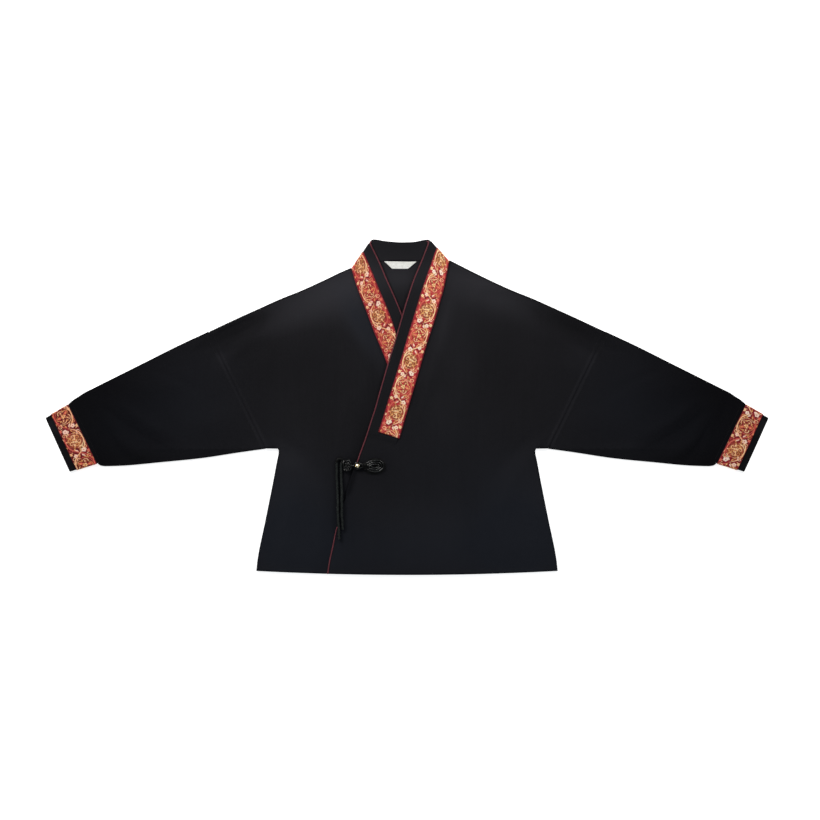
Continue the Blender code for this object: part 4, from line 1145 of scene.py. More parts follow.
def cuff_line(t):
    t = np.asarray(t, float)[:, None]
    up = lerp(np.array(WRIST[0], float), np.array(CUFF_SEAM[0], float), t)
    lo = lerp(np.array(WRIST[1], float), np.array(CUFF_SEAM[1], float), t)
    return up, lo


def inset(up, lo, by):
    d = lo - up
    d = d / np.linalg.norm(d, axis=1, keepdims=True) * by
    return up + d, lo - d


CUFF_LOW = RIBBON + SEAM + CLOTH / 2
CUFF_HIGH = CUFF_LOW + CLOTH + AIR
CUFF_INSET = RIBBON + SEAM
CUFF_LENGTH = 54.5


def cuff_rise(x, y, t):
    return 0.9 * bulge(t) + 0.18 * np.sin(t * 9.0 + x * 0.05) * bulge(t)


def build_cuff(side, name):
    t = np.concatenate([EDGE / CUFF_LENGTH, np.linspace(1.5 / CUFF_LENGTH, 0.992 - 1.5 / CUFF_LENGTH, 22)[1:-1],
                        0.992 - EDGE[::-1] / CUFF_LENGTH])
    up, lo = inset(*cuff_line(t), CUFF_INSET + 0.15)
    ones = np.ones(len(t))
    ring = outward(ring_points(up, lo, CUFF_LOW * ones, CUFF_HIGH * ones, cuff_rise, 46, 30, 8, side))
    d = np.minimum(t, 0.992 - t) * CUFF_LENGTH
    half = np.broadcast_to((HALF * round_over(d))[:, None], ring.shape[:2])
    ob = tube_shell(name, ring, half, [BAND])
    return adopt(ob, "black_cloth", "cuff_right" if side < 0 else "cuff_left")


RIB_HALF = 0.42
sleeve_right = build_sleeve(-1, "sleeve_right_cloth")
sleeve_left = build_sleeve(1, "sleeve_left_cloth")
cuff_right = build_cuff(-1, "cuff_right_cloth")
cuff_left = build_cuff(1, "cuff_left_cloth")


class Lattice:
    """Ribbon surface as a grid: along it (u, mm) and across it (0 to 1)."""

    def __init__(self, top, normal, wrap_at=None):
        self.top, self.normal = top, normal
        mid = top[:, top.shape[1] // 2]
        self.run = np.concatenate([[0], np.cumsum(np.linalg.norm(np.diff(mid, axis=0), axis=1))])
        self.length = self.run[-1]

    def at(self, u, v, lift):
        """Points at u mm along, v from -20 to 20 across, raised by lift."""
        u = np.asarray(u, float)
        rows, cols = self.top.shape[:2]
        i = np.interp(u, self.run, np.arange(rows))
        j = np.clip((np.asarray(v, float) / 40.0 + 0.5), 0, 1) * (cols - 1)
        i0 = np.clip(i.astype(int), 0, rows - 2)
        j0 = np.clip(j.astype(int), 0, cols - 2)
        fi, fj = (i - i0)[..., None], (j - j0)[..., None]

        def blend(g):
            return ((g[i0, j0] * (1 - fi) + g[i0 + 1, j0] * fi) * (1 - fj)
                    + (g[i0, j0 + 1] * (1 - fi) + g[i0 + 1, j0 + 1] * fi) * fj)

        n = blend(self.normal)
        n /= np.maximum(np.linalg.norm(n, axis=-1, keepdims=True), 1e-9)
        return blend(self.top) + n * np.asarray(lift)[..., None]


def build_cuff_ribbon(side, name):
    """Ribbon tube round the cuff, and its outer face as a lattice."""
    t = np.concatenate([CUFF_RIBBON_FROM + EDGE / 1.9 / CUFF_LENGTH,
                        np.linspace(CUFF_RIBBON_FROM + 0.9 / CUFF_LENGTH, CUFF_RIBBON_TO - 0.9 / CUFF_LENGTH, 22)[1:-1],
                        CUFF_RIBBON_TO - EDGE[::-1] / 1.9 / CUFF_LENGTH])
    up, lo = cuff_line(t)
    ones = np.ones(len(t))
    ring = ring_points(up, lo, RIBBON / 2 * ones, (CUFF_HIGH + RIBBON_UP) * ones, cuff_rise, 90, 50, 12, side)
    turned = outward(ring)
    d = np.minimum(t - CUFF_RIBBON_FROM, CUFF_RIBBON_TO - t) * CUFF_LENGTH
    half = np.broadcast_to((RIB_HALF * round_over(d, 0.8))[:, None], ring.shape[:2])
    n = normals_of(turned, closed=True)
    run = np.cumsum(np.linalg.norm(np.diff(turned[len(t) // 2], axis=0, prepend=turned[len(t) // 2][:1]), axis=1))
    uv = np.stack(np.broadcast_arrays(run[None, :], (t * CUFF_LENGTH)[:, None]), -1).reshape(-1, 2)
    uv = np.concatenate([uv, uv.reshape(len(t), -1, 2)[1:-1].reshape(-1, 2)])
    ob = tube_shell(name, turned, half, [GROUND], uv=uv)
    face = turned + n * RIB_HALF
    face = np.concatenate([face, face[:, :1]], axis=1).transpose(1, 0, 2)
    nn = np.concatenate([n, n[:, :1]], axis=1).transpose(1, 0, 2)
    lat = Lattice(face[:, 3:-3], nn[:, 3:-3])
    return adopt(ob, "brocade", "cuff_ribbon_right" if side < 0 else "cuff_ribbon_left"), lat


cuff_ribbon_right, cuff_lat_right = build_cuff_ribbon(-1, "cuff_ribbon_right_ground")
cuff_ribbon_left, cuff_lat_left = build_cuff_ribbon(1, "cuff_ribbon_left_ground")


# --------------------------------------------------------------- collar strip
FRONT_Z = FRONT_MID + BAND_UP
BACK_Z = 2 * FOLD_AXIS - FRONT_Z
BACK_RISE = 2.3


def along_table(rows, s):
    """Catmull-Rom through a table's rows at fractional row numbers s."""
    k = np.asarray(rows, float)
    k = np.vstack([2 * k[0] - k[1], k, 2 * k[-1] - k[-2]])
    i = np.clip(np.floor(s).astype(int), 0, len(rows) - 2)
    t = (s - i)[:, None]
    a, b, c, d = k[i], k[i + 1], k[i + 2], k[i + 3]
    return 0.5 * (2 * b + (c - a) * t + (2 * a - 5 * b + 4 * c - d) * t ** 2
                  + (3 * b - a - 3 * c + d) * t ** 3)


def strip_spine():
    """Fine sections of the collar strip, from the underlap's end to the overlap's.

    Each: inner plan point, outer plan point, kind (0 underlap, 1 overlap,
    2 behind the neck, 3/4 the folds), fold angle, puff share and end distance.
    """
    secs = []
    n_u = len(UNDER_SECTIONS) - 1
    s = np.concatenate([EDGE / 19.0, np.linspace(1.5 / 19.0, n_u, n_u * 7)])
    for v, (yi, yo) in zip(s, along_table(UNDER_SECTIONS, s)):
        secs.append((float(under_edge(yi)) - 1.0, yi, float(under_outer(yo)), yo, 0, 0.0,
                     float(smooth(205, 320, yi)), v * 19.0, 0.0))
    last_u = secs[-1][:4]
    angles = np.linspace(0, math.pi, 21)[1:-1]
    for w in angles:
        secs.append((*last_u, 3, w, 1.0, 99.0, 0.0))
    over_top = OVER_SECTIONS[-1]
    last_o = (float(over_edge(over_top[0])) + 1.0, over_top[0], float(over_outer(over_top[1])), over_top[1])
    back_rows = [last_u] + [r for r in BACK_SECTIONS] + [last_o]
    s = np.linspace(0, len(back_rows) - 1, (len(back_rows) - 1) * 7 + 1)
    for row in along_table(back_rows, s):
        secs.append((*row, 2, math.pi, 0.0, 99.0, 0.0))
    for w in angles[::-1]:
        secs.append((*last_o, 4, w, 1.0, 99.0, 0.0))
    n_o = len(OVER_SECTIONS) - 1
    s = np.linspace(n_o, 0, n_o * 7)
    for v, (yi, yo) in zip(s, along_table(OVER_SECTIONS, s)):
        secs.append((float(over_edge(yi)) + 1.0, yi, float(over_outer(yo)), yo, 1, 0.0,
                     float(smooth(205, 320, yi)), v * 20.0, 0.0))
    # the band runs on below the ribbon's end and sinks into the panel
    for k in np.linspace(0, 1, 14)[1:]:
        yi, yo = OVER_SECTIONS[0][0] - 26.0 * k, OVER_SECTIONS[0][1] - 26.0 * k
        secs.append((float(over_edge(yi)) + 1.0, yi, float(over_outer(yo)), yo, 1, 0.0, 0.0,
                     (1 - k) * 26.0 - 26.0, float(k)))
    return np.array(secs, float)


SPINE = strip_spine()
ON_RIBBON = SPINE[:, 8] == 0.0


def strip_grid(shares, offset, rows=None):
    """Points across the strip at the given shares, moved out by offset (a number or array)."""
    sp = SPINE if rows is None else SPINE[rows]
    f = np.asarray(shares, float)
    f = f if f.ndim == 2 else f[None, :]
    pi, po = sp[:, None, 0:2], sp[:, None, 2:4]
    xy = pi + (po - pi) * f[..., None]
    kind, w, puff, sink = sp[:, 4][:, None], sp[:, 5][:, None], sp[:, 6][:, None], sp[:, 8][:, None]
    x, y = xy[..., 0], xy[..., 1]
    rise = PUFF * puff * (1 - 0.82 * f) * np.ones_like(x)
    z_under = front_mid(x, y) + BAND_UP
    z_over = over_front_mid(x, y) + BAND_UP
    # the level at each fold, so that front, fold and back meet
    out_u = fold_dir(SPINE[SPINE[:, 4] == 3][0], -1)
    out_o = fold_dir(SPINE[SPINE[:, 4] == 4][0], 1)
    top_z = FRONT_Z + rise
    radius = (top_z - BACK_Z) / 2
    axis = (top_z + BACK_Z) / 2
    near = smooth(250, 300, y)
    z_under = lerp(z_under, FRONT_Z, near)
    z_over = lerp(z_over, FRONT_Z, near)
    back = BACK_Z + BACK_RISE * smooth(-77, -68, x) * (1 - smooth(35, 45, x)) * np.clip(1 - f, 0, 1) ** 3
    z = np.where(kind == 0, z_under + rise, np.where(kind == 1, z_over + rise, back))
    z = np.where(kind >= 3, axis + radius * np.cos(w), z)
    z = z - smooth(0, 0.8, sink) * (BAND_UP + 0.45)
    out = np.where((kind == 3)[..., None], out_u, out_o) * np.where(kind >= 3, 1.0, 0.0)[..., None]
    push = radius * np.sin(w) * (kind >= 3)
    p = np.concatenate([xy + out * push[..., None], z[..., None]], -1)
    n = np.zeros_like(p)
    n[..., 2] = np.where(kind == 2, -1.0, np.where(kind >= 3, np.cos(w), 1.0))
    n[..., :2] = out * (np.sin(w) * (kind >= 3))[..., None]
    # true surface normals where the strip lies on creased cloth
    g = normals_of(p)
    sign = np.sign((g * n).sum(-1, keepdims=True))
    g = g * np.where(sign == 0, 1, sign)
    use = ((kind < 2) * 1.0 * np.ones_like(x))[..., None]
    n = g * use + n * (1 - use)
    n /= np.linalg.norm(n, axis=-1, keepdims=True)
    return p + n * (offset if np.isscalar(offset) else offset[..., None]), n


def fold_dir(sec, sign):
    along = np.array([sec[2] - sec[0], sec[3] - sec[1]])
    along /= np.linalg.norm(along)
    out = np.array([along[1], -along[0]])
    return out if out[0] * sign > 0 else -out


def strip_shell(name, shares, offset, half, mats, rows, uv=None, top=None):
    p, n = strip_grid(shares, offset, rows)
    g = normals_of(p)
    if (g * n).sum(-1).mean() < 0:
        p = p[:, ::-1]
        half = half[:, ::-1]
        uv = None if uv is None else uv[:, ::-1]
        top = None if top is None else top[:, ::-1]
    return shell(name, p, half, mats, uv=uv, extra_top=top)


WIDE = np.hypot(SPINE[:, 2] - SPINE[:, 0], SPINE[:, 3] - SPINE[:, 1])
BAND_W = float(WIDE.mean())
band_f = np.concatenate([EDGE / BAND_W, np.linspace(1.5 / BAND_W, 0.99 - 1.5 / BAND_W, 26)[1:-1],
                         0.99 - EDGE[::-1] / BAND_W])
all_rows = np.arange(len(SPINE))
d_f = np.minimum(band_f, 0.99 - band_f) * BAND_W
d_s = np.minimum(np.abs(SPINE[:, 7] - SPINE[-1, 7]), np.where(SPINE[:, 4] == 0, SPINE[:, 7], 99.0))
half = HALF * round_over(np.minimum(d_f[None, :], d_s[:, None]))
half[0], half[-1], half[:, 0], half[:, -1] = 0, 0, 0, 0
collar = strip_shell("collar_band", band_f, 0.0, half, [BLACK], all_rows)
adopt(collar, "black_cloth", "collar")

# the ribbon's two edges as shares of the strip, section by section
rib_rows = all_rows[ON_RIBBON]
KIND = SPINE[rib_rows, 4]
RIB_IN = np.where((KIND == 1) | (KIND == 4), 0.342, 0.334)
RIB_EDGE = np.where(KIND == 1, 1.033, np.where(KIND == 0, 1.006, 1.0))
# the ribbon spreads a little towards its free end on the overlap
RIB_IN = RIB_IN - np.where(KIND == 1, 0.026 * smooth(110, -30, SPINE[rib_rows, 1]), 0.0)
behind = np.where(KIND == 2)[0]
fade_in = smooth(0, 9, np.minimum(behind - behind[0], behind[-1] - behind))
RIB_EDGE[behind] = 1.0 - 0.07 * fade_in
ease = np.convolve(np.pad(RIB_EDGE, 6, mode="edge"), np.ones(13) / 13, mode="valid")
RIB_EDGE = ease


def ribbon_shares(t):
    """Row by row shares for cross positions t from 0 to 1."""
    return RIB_IN[:, None] + (RIB_EDGE - RIB_IN)[:, None] * np.asarray(t, float)[None, :]


RIB_OFF = RIBBON_UP - 0.25


def ribbon_offset(f):
    """The ribbon's outer edge bends down over the band's edge."""
    return RIB_OFF - 1.45 * smooth(0.985, 1.034, f)


RIB_W = BAND_W * 0.68
rib_t = np.concatenate([EDGE / 1.9 / RIB_W, np.linspace(0.9 / RIB_W, 1 - 0.9 / RIB_W, 20)[1:-1],
                        1 - EDGE[::-1] / 1.9 / RIB_W])
rib_f = ribbon_shares(rib_t)
d_f = np.minimum(rib_t, 1 - rib_t) * RIB_W
d_s = SPINE[rib_rows, 7]
half = RIB_HALF * round_over(np.minimum(d_f[None, :], d_s[:, None]), 0.8)
half[0], half[-1], half[:, 0], half[:, -1] = 0, 0, 0, 0
p, n = strip_grid(rib_f, ribbon_offset(rib_f), rib_rows)
run = np.concatenate([[0], np.cumsum(np.linalg.norm(np.diff(p[:, len(rib_t) // 2], axis=0), axis=1))])
uv = np.stack(np.broadcast_arrays(run[:, None], (rib_t * RIB_W)[None, :]), -1)
collar_ribbon = strip_shell("collar_ribbon_ground", rib_f, ribbon_offset(rib_f), half, [GROUND], rib_rows, uv=uv)
adopt(collar_ribbon, "brocade", "collar_ribbon")
lat_f = ribbon_shares(np.linspace(0.006, 0.994, 23))
face, face_n = strip_grid(lat_f, ribbon_offset(lat_f) + RIB_HALF, rib_rows)
collar_lat = Lattice(face[::-1], face_n[::-1])


# ------------------------------------------------------------ woven motifs
# The ribbon's pattern is charted in ribbon coordinates: u runs along it,
# v from -20 to 20 across it.  Every form is a stroke: a line with a width that
# changes along it, a thread colour and a height above the ground.
REPEAT = 104.0
STRETCH = 1.02         # the weave runs a little long on the ribbon


def leaf_profile(t, full=0.55):
    """Width share of a pointed leaf or petal along its length."""
    return np.sin(np.clip(t, 0, 1) ** full * math.pi) ** 0.8


def round_profile(t):
    return np.sqrt(np.clip(1 - (2 * t - 1) ** 2, 0, 1))


def even_profile(t):
    return np.minimum(1.0, np.minimum(t, 1 - t) * 9 + 0.25)


def taper_profile(t):
    return np.clip(1.05 - 0.75 * t, 0.2, 1) * np.minimum(1, t * 8 + 0.3)


def stroke(path, width, colour, height, profile=even_profile):
    return (np.asarray(path, float), width, colour, height, profile)


def petal(cu, cv, angle, start, length, width, colour, height, bend=0.0, full=0.62):
    """Petal that points away from a centre at an angle in degrees."""
    a = math.radians(angle)
    s = np.linspace(0, 1, 5)
    r = start + s * length
    side = bend * s ** 2 * length
    u = cu + r * math.cos(a) - side * math.sin(a)
    v = cv + r * math.sin(a) + side * math.cos(a)
    return stroke(np.stack([u, v], -1), width, colour, height, lambda t: leaf_profile(t, full))


def arc(cu, cv, radius, a0, a1, width, colour, height, squash=1.0, profile=even_profile):
    w = np.radians(np.linspace(a0, a1, max(5, int(abs(a1 - a0) / 18))))
    return stroke(np.stack([cu + radius * np.cos(w), cv + radius * squash * np.sin(w)], -1),
                  width, colour, height, profile)


def volute(cu, cv, radius, a0, turns, width, colour, height, hand=1):
    """Scroll that winds in to its centre."""
    n = max(8, int(abs(turns) * 14))
    s = np.linspace(0, 1, n)
    w = math.radians(a0) + hand * 2 * math.pi * turns * s
    r = radius * (1 - 0.82 * s)
    return stroke(np.stack([cu + r * np.cos(w), cv + r * np.sin(w)], -1), width, colour, height, taper_profile)


def dot(cu, cv, size, colour, height):
    return stroke([(cu - size / 2, cv), (cu - size / 6, cv), (cu + size / 6, cv), (cu + size / 2, cv)],
                  size, colour, height, round_profile)


def blossom(cu, cv, size, colour, heart, turn=0.0, height=0.34):
    """Small five-petalled flower."""
    out = []
    for k in range(5):
        out.append(petal(cu, cv, turn + 72 * k, size * 0.08, size * 0.98, size * 0.86, colour, height, full=0.85))
    out.append(dot(cu, cv, size * 0.34, heart, height + 0.12))
    return out


def heart(cu, cv, size, turn, colour, height):
    """Two-lobed crimson patch between the flowers."""
    out = []
    for sign in (-1, 1):
        out.append(petal(cu, cv, turn + 38 * sign, -size * 0.35, size * 1.15, size * 0.72, colour, height,
                         bend=-0.22 * sign, full=0.9))
    out.append(petal(cu, cv, turn + 180, -size * 0.2, size * 0.8, size * 0.5, colour, height, full=0.7))
    return out


def round_flower(cu, cv, turn):
    """Roundel of scrolling stems: gold and cream curls, olive leaves, a small rosette."""
    out = [dot(cu, cv, 29.6, C_DEEP, 0.07)]
    for k in range(6):
        a = turn + 60 * k
        w = math.radians(a)
        out.append(volute(cu + 7.9 * math.cos(w), cv + 7.9 * math.sin(w), 4.7, a + 150, 1.15, 1.75,
                          C_CREAM if k % 2 else C_GOLD, 0.32, 1 if k % 2 else -1))
        out.append(petal(cu, cv, a + 30, 6.4, 6.0, 2.5, (C_GOLD, C_OLIVE, C_CREAM)[k % 3], 0.24, bend=0.3, full=0.8))
        out.append(petal(cu, cv, a + 14, 9.8, 3.2, 1.5, C_SALMON, 0.2, bend=-0.3, full=0.8))
    for k in range(5):
        out.append(petal(cu, cv, turn + 8 + 72 * k, 0.8, 4.6, 2.8, C_GOLD if k % 2 else C_CREAM, 0.36, full=0.85))
        out.append(petal(cu, cv, turn + 44 + 72 * k, 1.6, 3.4, 1.1, C_OLIVE, 0.3))
    out.append(dot(cu, cv, 2.4, C_SALMON, 0.46))
    out.append(arc(cu, cv, 15.0, turn - 6, turn + 176, 1.35, C_CREAM, 0.38, profile=taper_profile))
    out.append(arc(cu, cv, 15.2, turn + 176, turn + 330, 1.15, C_SALMON, 0.38, profile=taper_profile))
    for k in range(9):
        out.append(petal(cu, cv, turn + 12 + 40 * k, 12.2, 3.0, 2.3, (C_CREAM, C_CRIMSON, C_GOLD)[k % 3], 0.22, bend=0.4, full=0.8))
    return out


def star_flower(cu, cv, turn):
    """Peony: salmon and tan petals, each edged with cream and veined with gold."""
    out = [dot(cu, cv, 8.4, C_CRIMSON, 0.07)]
    for k in range(5):
        a = turn + 72 * k
        w = math.radians(a)
        out.append(petal(cu, cv, a, 3.6, 8.8, 5.6, C_SALMON if k % 2 else C_DEEP, 0.18, bend=0.12, full=0.9))
        out.append(arc(cu + 8.4 * math.cos(w), cv + 8.4 * math.sin(w), 4.5, a - 100, a + 104, 1.35,
                       C_GOLD if k % 2 else C_CREAM, 0.34, profile=taper_profile))
        out.append(petal(cu, cv, a + 5, 5.6, 5.6, 1.8, C_GOLD if k % 2 else C_CREAM, 0.3, bend=0.2))
        out.append(petal(cu, cv, a + 36, 8.2, 4.8, 1.9, C_OLIVE if k % 2 else C_GOLD, 0.24, bend=-0.2))
    for k in range(6):
        out.append(petal(cu, cv, turn + 10 + 60 * k, 0.2, 5.0, 2.3, C_GOLD if k % 2 else C_CREAM, 0.38, full=0.8))
    out.append(dot(cu, cv, 2.2, C_CRIMSON, 0.48))
    out.append(arc(cu, cv, 15.0, turn + 30, turn + 196, 1.2, C_SALMON, 0.38, profile=taper_profile))
    out.append(arc(cu, cv, 15.3, turn + 204, turn + 384, 1.4, C_CREAM, 0.38, profile=taper_profile))
    return out


def vine(points, width, colour, height):
    return stroke(points, width, colour, height)


def chart():
    """One repeat of the pattern, from u = 0 to REPEAT."""
    out = []
    s = np.linspace(0, REPEAT, 41)
    ph = 2 * math.pi * s / REPEAT
    # two stems that cross and pass round the flowers
    one = 17.3 * np.sin(ph) + 1.7 * np.sin(3 * ph)
    two = -17.0 * np.sin(ph + 0.10) - 1.6 * np.sin(3 * ph)
    out.append(vine(np.stack([s, two], -1), 1.35, C_SALMON, 0.3))
    out.append(vine(np.stack([s, two + 2.2 * np.cos(ph)], -1), 0.8, C_SALMON, 0.24))
    out.append(vine(np.stack([s, one], -1), 1.5, C_CREAM, 0.36))
    out.append(vine(np.stack([s, one - 2.4 * np.cos(ph)], -1), 0.85, C_SALMON, 0.26))
    # the two great flowers
    out += round_flower(0.25 * REPEAT, 0.5, 8.0)
    out += star_flower(0.75 * REPEAT, -0.5, 14.0)
    # scrolls beside the crossings
    for u, v, r, a0, turns, colour, hand in (
            (42.2, 12.6, 4.6, 210, 1.3, C_CREAM, 1), (61.6, -12.8, 4.6, 30, 1.3, C_CREAM, 1),
            (43.2, -13.2, 3.9, 150, 1.2, C_SALMON, -1), (62.0, 13.0, 4.3, 330, 1.2, C_GOLD, -1),
            (94.0, 12.8, 4.5, 200, 1.3, C_CREAM, 1), (10.4, -12.8, 4.5, 20, 1.3, C_CREAM, 1),
            (93.2, -13.4, 4.2, 150, 1.2, C_GOLD, -1), (11.0, 13.4, 3.8, 330, 1.2, C_PALE, -1)):
        out.append(volute(u, v, r, a0, turns, 1.35, colour, 0.36, hand))
    # pairs of pale blossoms with crimson between them, at each crossing
    for u, v, size, turn in ((52.0, 0.4, 12.4, 90), (0.0, -0.4, 11.8, -90), (47.0, -9.4, 5.2, 20), (57.0, 9.6, 5.0, 200),
                             (-5.0, 9.4, 5.2, -20), (5.0, -9.6, 5.0, 160)):
        out += heart(u, v, size, turn, C_CRIMSON, 0.16)
    for u, v, size, colour, turn in (
            (48.4, 8.4, 4.7, C_PALE, 10), (55.8, -8.6, 3.9, C_PALE, 40),
            (-2.4, 8.8, 4.1, C_PALE, 55), (3.0, -8.0, 4.7, C_PALE, 15),
            (53.0, 15.6, 3.5, C_SALMON, 12), (50.6, -15.8, 3.2, C_CREAM, 44),
            (0.6, 15.8, 3.3, C_CREAM, 20), (-1.4, -15.6, 3.6, C_SALMON, 62)):
        out += blossom(u, v, size, colour, C_SALMON if size > 3.4 else C_GOLD, turn)
    # pale petals opening from each crimson heart
    for u, v, hand in ((52.0, 0.4, 1), (0.0, -0.4, -1)):
        for turn, length, width in ((28, 7.0, 2.5), (-31, 6.2, 2.1), (153, 6.4, 2.2), (-149, 7.2, 2.6)):
            out.append(petal(u, v, turn * hand, 3.6, length, width, C_PALE if length > 6.8 else C_GOLD, 0.3,
                             bend=0.2 * hand, full=0.7))
            out.append(petal(u, v, turn * hand, 4.4, length * 0.6, 0.55, C_SALMON, 0.36, bend=0.2 * hand))
    # small leaves on the stems, gold and olive
    for k, (u, v, turn, length) in enumerate((
            (35.6, -17.0, 8, 5.6), (16.8, -17.2, 172, 5.4), (35.4, 17.2, -8, 5.4),
            (69.0, 17.2, 188, 5.6), (87.0, 17.0, -8, 5.4), (69.2, -17.4, 172, 5.2),
            (42.0, 5.6, 110, 6.0), (42.8, -6.4, -50, 5.4), (61.8, 6.4, 60, 5.4), (62.0, -5.4, -120, 6.0),
            (93.4, 5.4, 110, 5.8), (94.0, -6.0, -60, 5.8), (10.4, 6.0, 60, 5.8), (9.8, -5.6, -110, 5.8))):
        colour = (C_GOLD, C_CREAM, C_OLIVE, C_GOLD)[k % 4]
        out.append(petal(u, v, turn, -length / 2, length, 2.4, colour, 0.25, bend=0.16 if k % 2 else -0.16, full=0.75))
        out.append(petal(u, v, turn, -length / 2, length * 0.86, 0.6, C_CRIMSON if colour != C_OLIVE else C_GOLD, 0.33,
                         bend=0.16 if k % 2 else -0.16))
    # tendrils and grains
    for u, v, r, a0, a1, colour in (
            (39.6, 2.2, 2.8, -60, 110, C_SALMON), (13.2, -1.8, 2.8, 120, 290, C_SALMON), (64.6, 1.4, 2.8, 100, 280, C_SALMON),
            (91.4, -1.4, 2.8, -80, 100, C_SALMON), (53.6, 11.8, 2.6, -30, 150, C_CREAM), (50.4, -11.6, 2.6, 150, 330, C_CREAM),
            (1.4, 12.0, 2.6, -20, 150, C_CREAM), (-1.0, -11.6, 2.6, 160, 330, C_CREAM)):
        out.append(arc(u, v, r, a0, a1, 1.05, colour, 0.24, profile=taper_profile))
    for u, v, colour in ((40.6, 8.6, C_CREAM), (12.0, -8.4, C_PALE), (64.6, -8.6, C_CREAM), (92.0, 8.8, C_PALE),
                         (52.2, 9.6, C_GOLD), (51.8, -9.2, C_GOLD), (0.4, 9.8, C_GOLD), (0.2, -9.8, C_GOLD),
                         (38.8, 18.2, C_PALE), (13.6, 18.0, C_CREAM), (90.6, -18.2, C_PALE), (65.0, -18.2, C_CREAM)):
        out.append(dot(u, v, 1.8, colour, 0.28))
    return out


CHART = chart()
ACROSS = np.array([-1.0, -0.72, 0.0, 0.72, 1.0])
CROWN = np.array([0.0, 0.82, 1.0, 0.82, 0.0])


def weave(name, lattice, start, slot_name, first=0.0, last=None, v_shift=0.0):
    """All strokes laid on a ribbon: one joined mesh, a material per thread."""
    last = lattice.length if last is None else last
    verts, faces, ids, uvs = [], [], [], []
    count = 0
    k0 = int(math.floor((first - start) / REPEAT)) - 1
    k1 = int(math.ceil((last - start) / REPEAT)) + 1
    strokes = []
    for k in range(k0, k1 + 1):
        flip = -1.0 if k % 2 else 1.0
        for path, width, colour, height, profile in CHART:
            width = width * {C_CREAM: 1.28, C_PALE: 1.2, C_GOLD: 1.12}.get(colour, 1.0)
            q = path.copy()
            q[:, 0] = start + (q[:, 0] + k * REPEAT) * STRETCH
            q[:, 1] = q[:, 1] * flip + v_shift
            if q[:, 0].max() < first or q[:, 0].min() > last:
                continue
            strokes.append((q, width, colour, height, profile))
    for side in (-1, 1):
        n = int(last - first)
        strokes.append((np.stack([np.linspace(first, last, n), np.full(n, side * 19.2)], -1), 1.6, C_SELV, 0.3, None))
    for path, width, colour, height, profile in strokes:
        if profile is not None:
            line = resample(path, 1.1)
        else:
            line = path
        t = np.linspace(0, 1, len(line))
        w = width / 2 * (profile(t) if profile is not None else np.ones(len(line)))
        tan = np.gradient(line, axis=0)
        tan /= np.maximum(np.linalg.norm(tan, axis=1, keepdims=True), 1e-9)
        nor = np.stack([-tan[:, 1], tan[:, 0]], -1)
        across = ACROSS if width < 4 else np.array([-1.0, -0.82, -0.42, 0.0, 0.42, 0.82, 1.0])
        crown = CROWN if width < 4 else np.array([0.0, 0.8, 0.95, 1.0, 0.95, 0.8, 0.0])
        uv2 = line[:, None] + nor[:, None] * (w[:, None] * across[None, :])[..., None]
        u = np.clip(uv2[..., 0], first, last)
        v = np.clip(uv2[..., 1], -19.95, 19.95)
        keep = (line[:, 0] > first - 0.4) & (line[:, 0] < last + 0.4)
        if keep.sum() < 2:
            continue
        lift = (height * np.minimum(1.0, w / (0.5 * max(w.max(), 1e-6)))[:, None] + 0.05) * crown[None, :] - 0.06
        pts = lattice.at(u, v, lift)
        n, m = pts.shape[:2]
        idx = np.arange(n * m).reshape(n, m) + count
        good = keep[:-1] & keep[1:]
        f = np.stack([idx[:-1, :-1], idx[:-1, 1:], idx[1:, 1:], idx[1:, :-1]], -1)[good].reshape(-1, 4)
        verts.append(pts.reshape(-1, 3))
        run = np.concatenate([[0], np.cumsum(np.linalg.norm(np.diff(line, axis=0), axis=1))])
        uvs.append(np.stack(np.broadcast_arrays(run[:, None], w[:, None] * across[None, :]), -1).reshape(-1, 2))
        faces.append(f)
        ids.append(np.full(len(f), colour))
        count += n * m
    faces = np.concatenate(faces)
    verts = np.concatenate(verts)
    # faces look out of the ribbon
    a, b, c = verts[faces[:, 0]], verts[faces[:, 1]], verts[faces[:, 2]]
    test = np.cross(b - a, c - a).sum(0)
    mid_n = lattice.normal.reshape(-1, 3).mean(0)
    if np.dot(np.cross(b - a, c - a)[0], lattice_normal_near(lattice, a[0])) < 0:
        faces = faces[:, ::-1]
    used = np.unique(faces)
    remap = np.full(len(verts), -1)
    remap[used] = np.arange(len(used))
    ob = mesh_object(name, verts[used], [remap[faces]], THREADS, mat_ids=np.concatenate(ids),
                     uv=np.concatenate(uvs)[used])
    return adopt(ob, slot_name)


def lattice_normal_near(lattice, p):
    flat = lattice.top.reshape(-1, 3)
    return lattice.normal.reshape(-1, 3)[np.argmin(((flat - p) ** 2).sum(1))]


weave("collar_brocade_threads", collar_lat, 21.5, "brocade", first=0.4, last=collar_lat.length - 1.0)
weave("cuff_brocade_threads_right", cuff_lat_right, 41.0, "brocade")
weave("cuff_brocade_threads_left", cuff_lat_left, 41.0, "brocade")




# ------------------------------------------------------------------ piping
PIPE_V = 1.12           # radius as seen: the cord drawn tight in its cloth


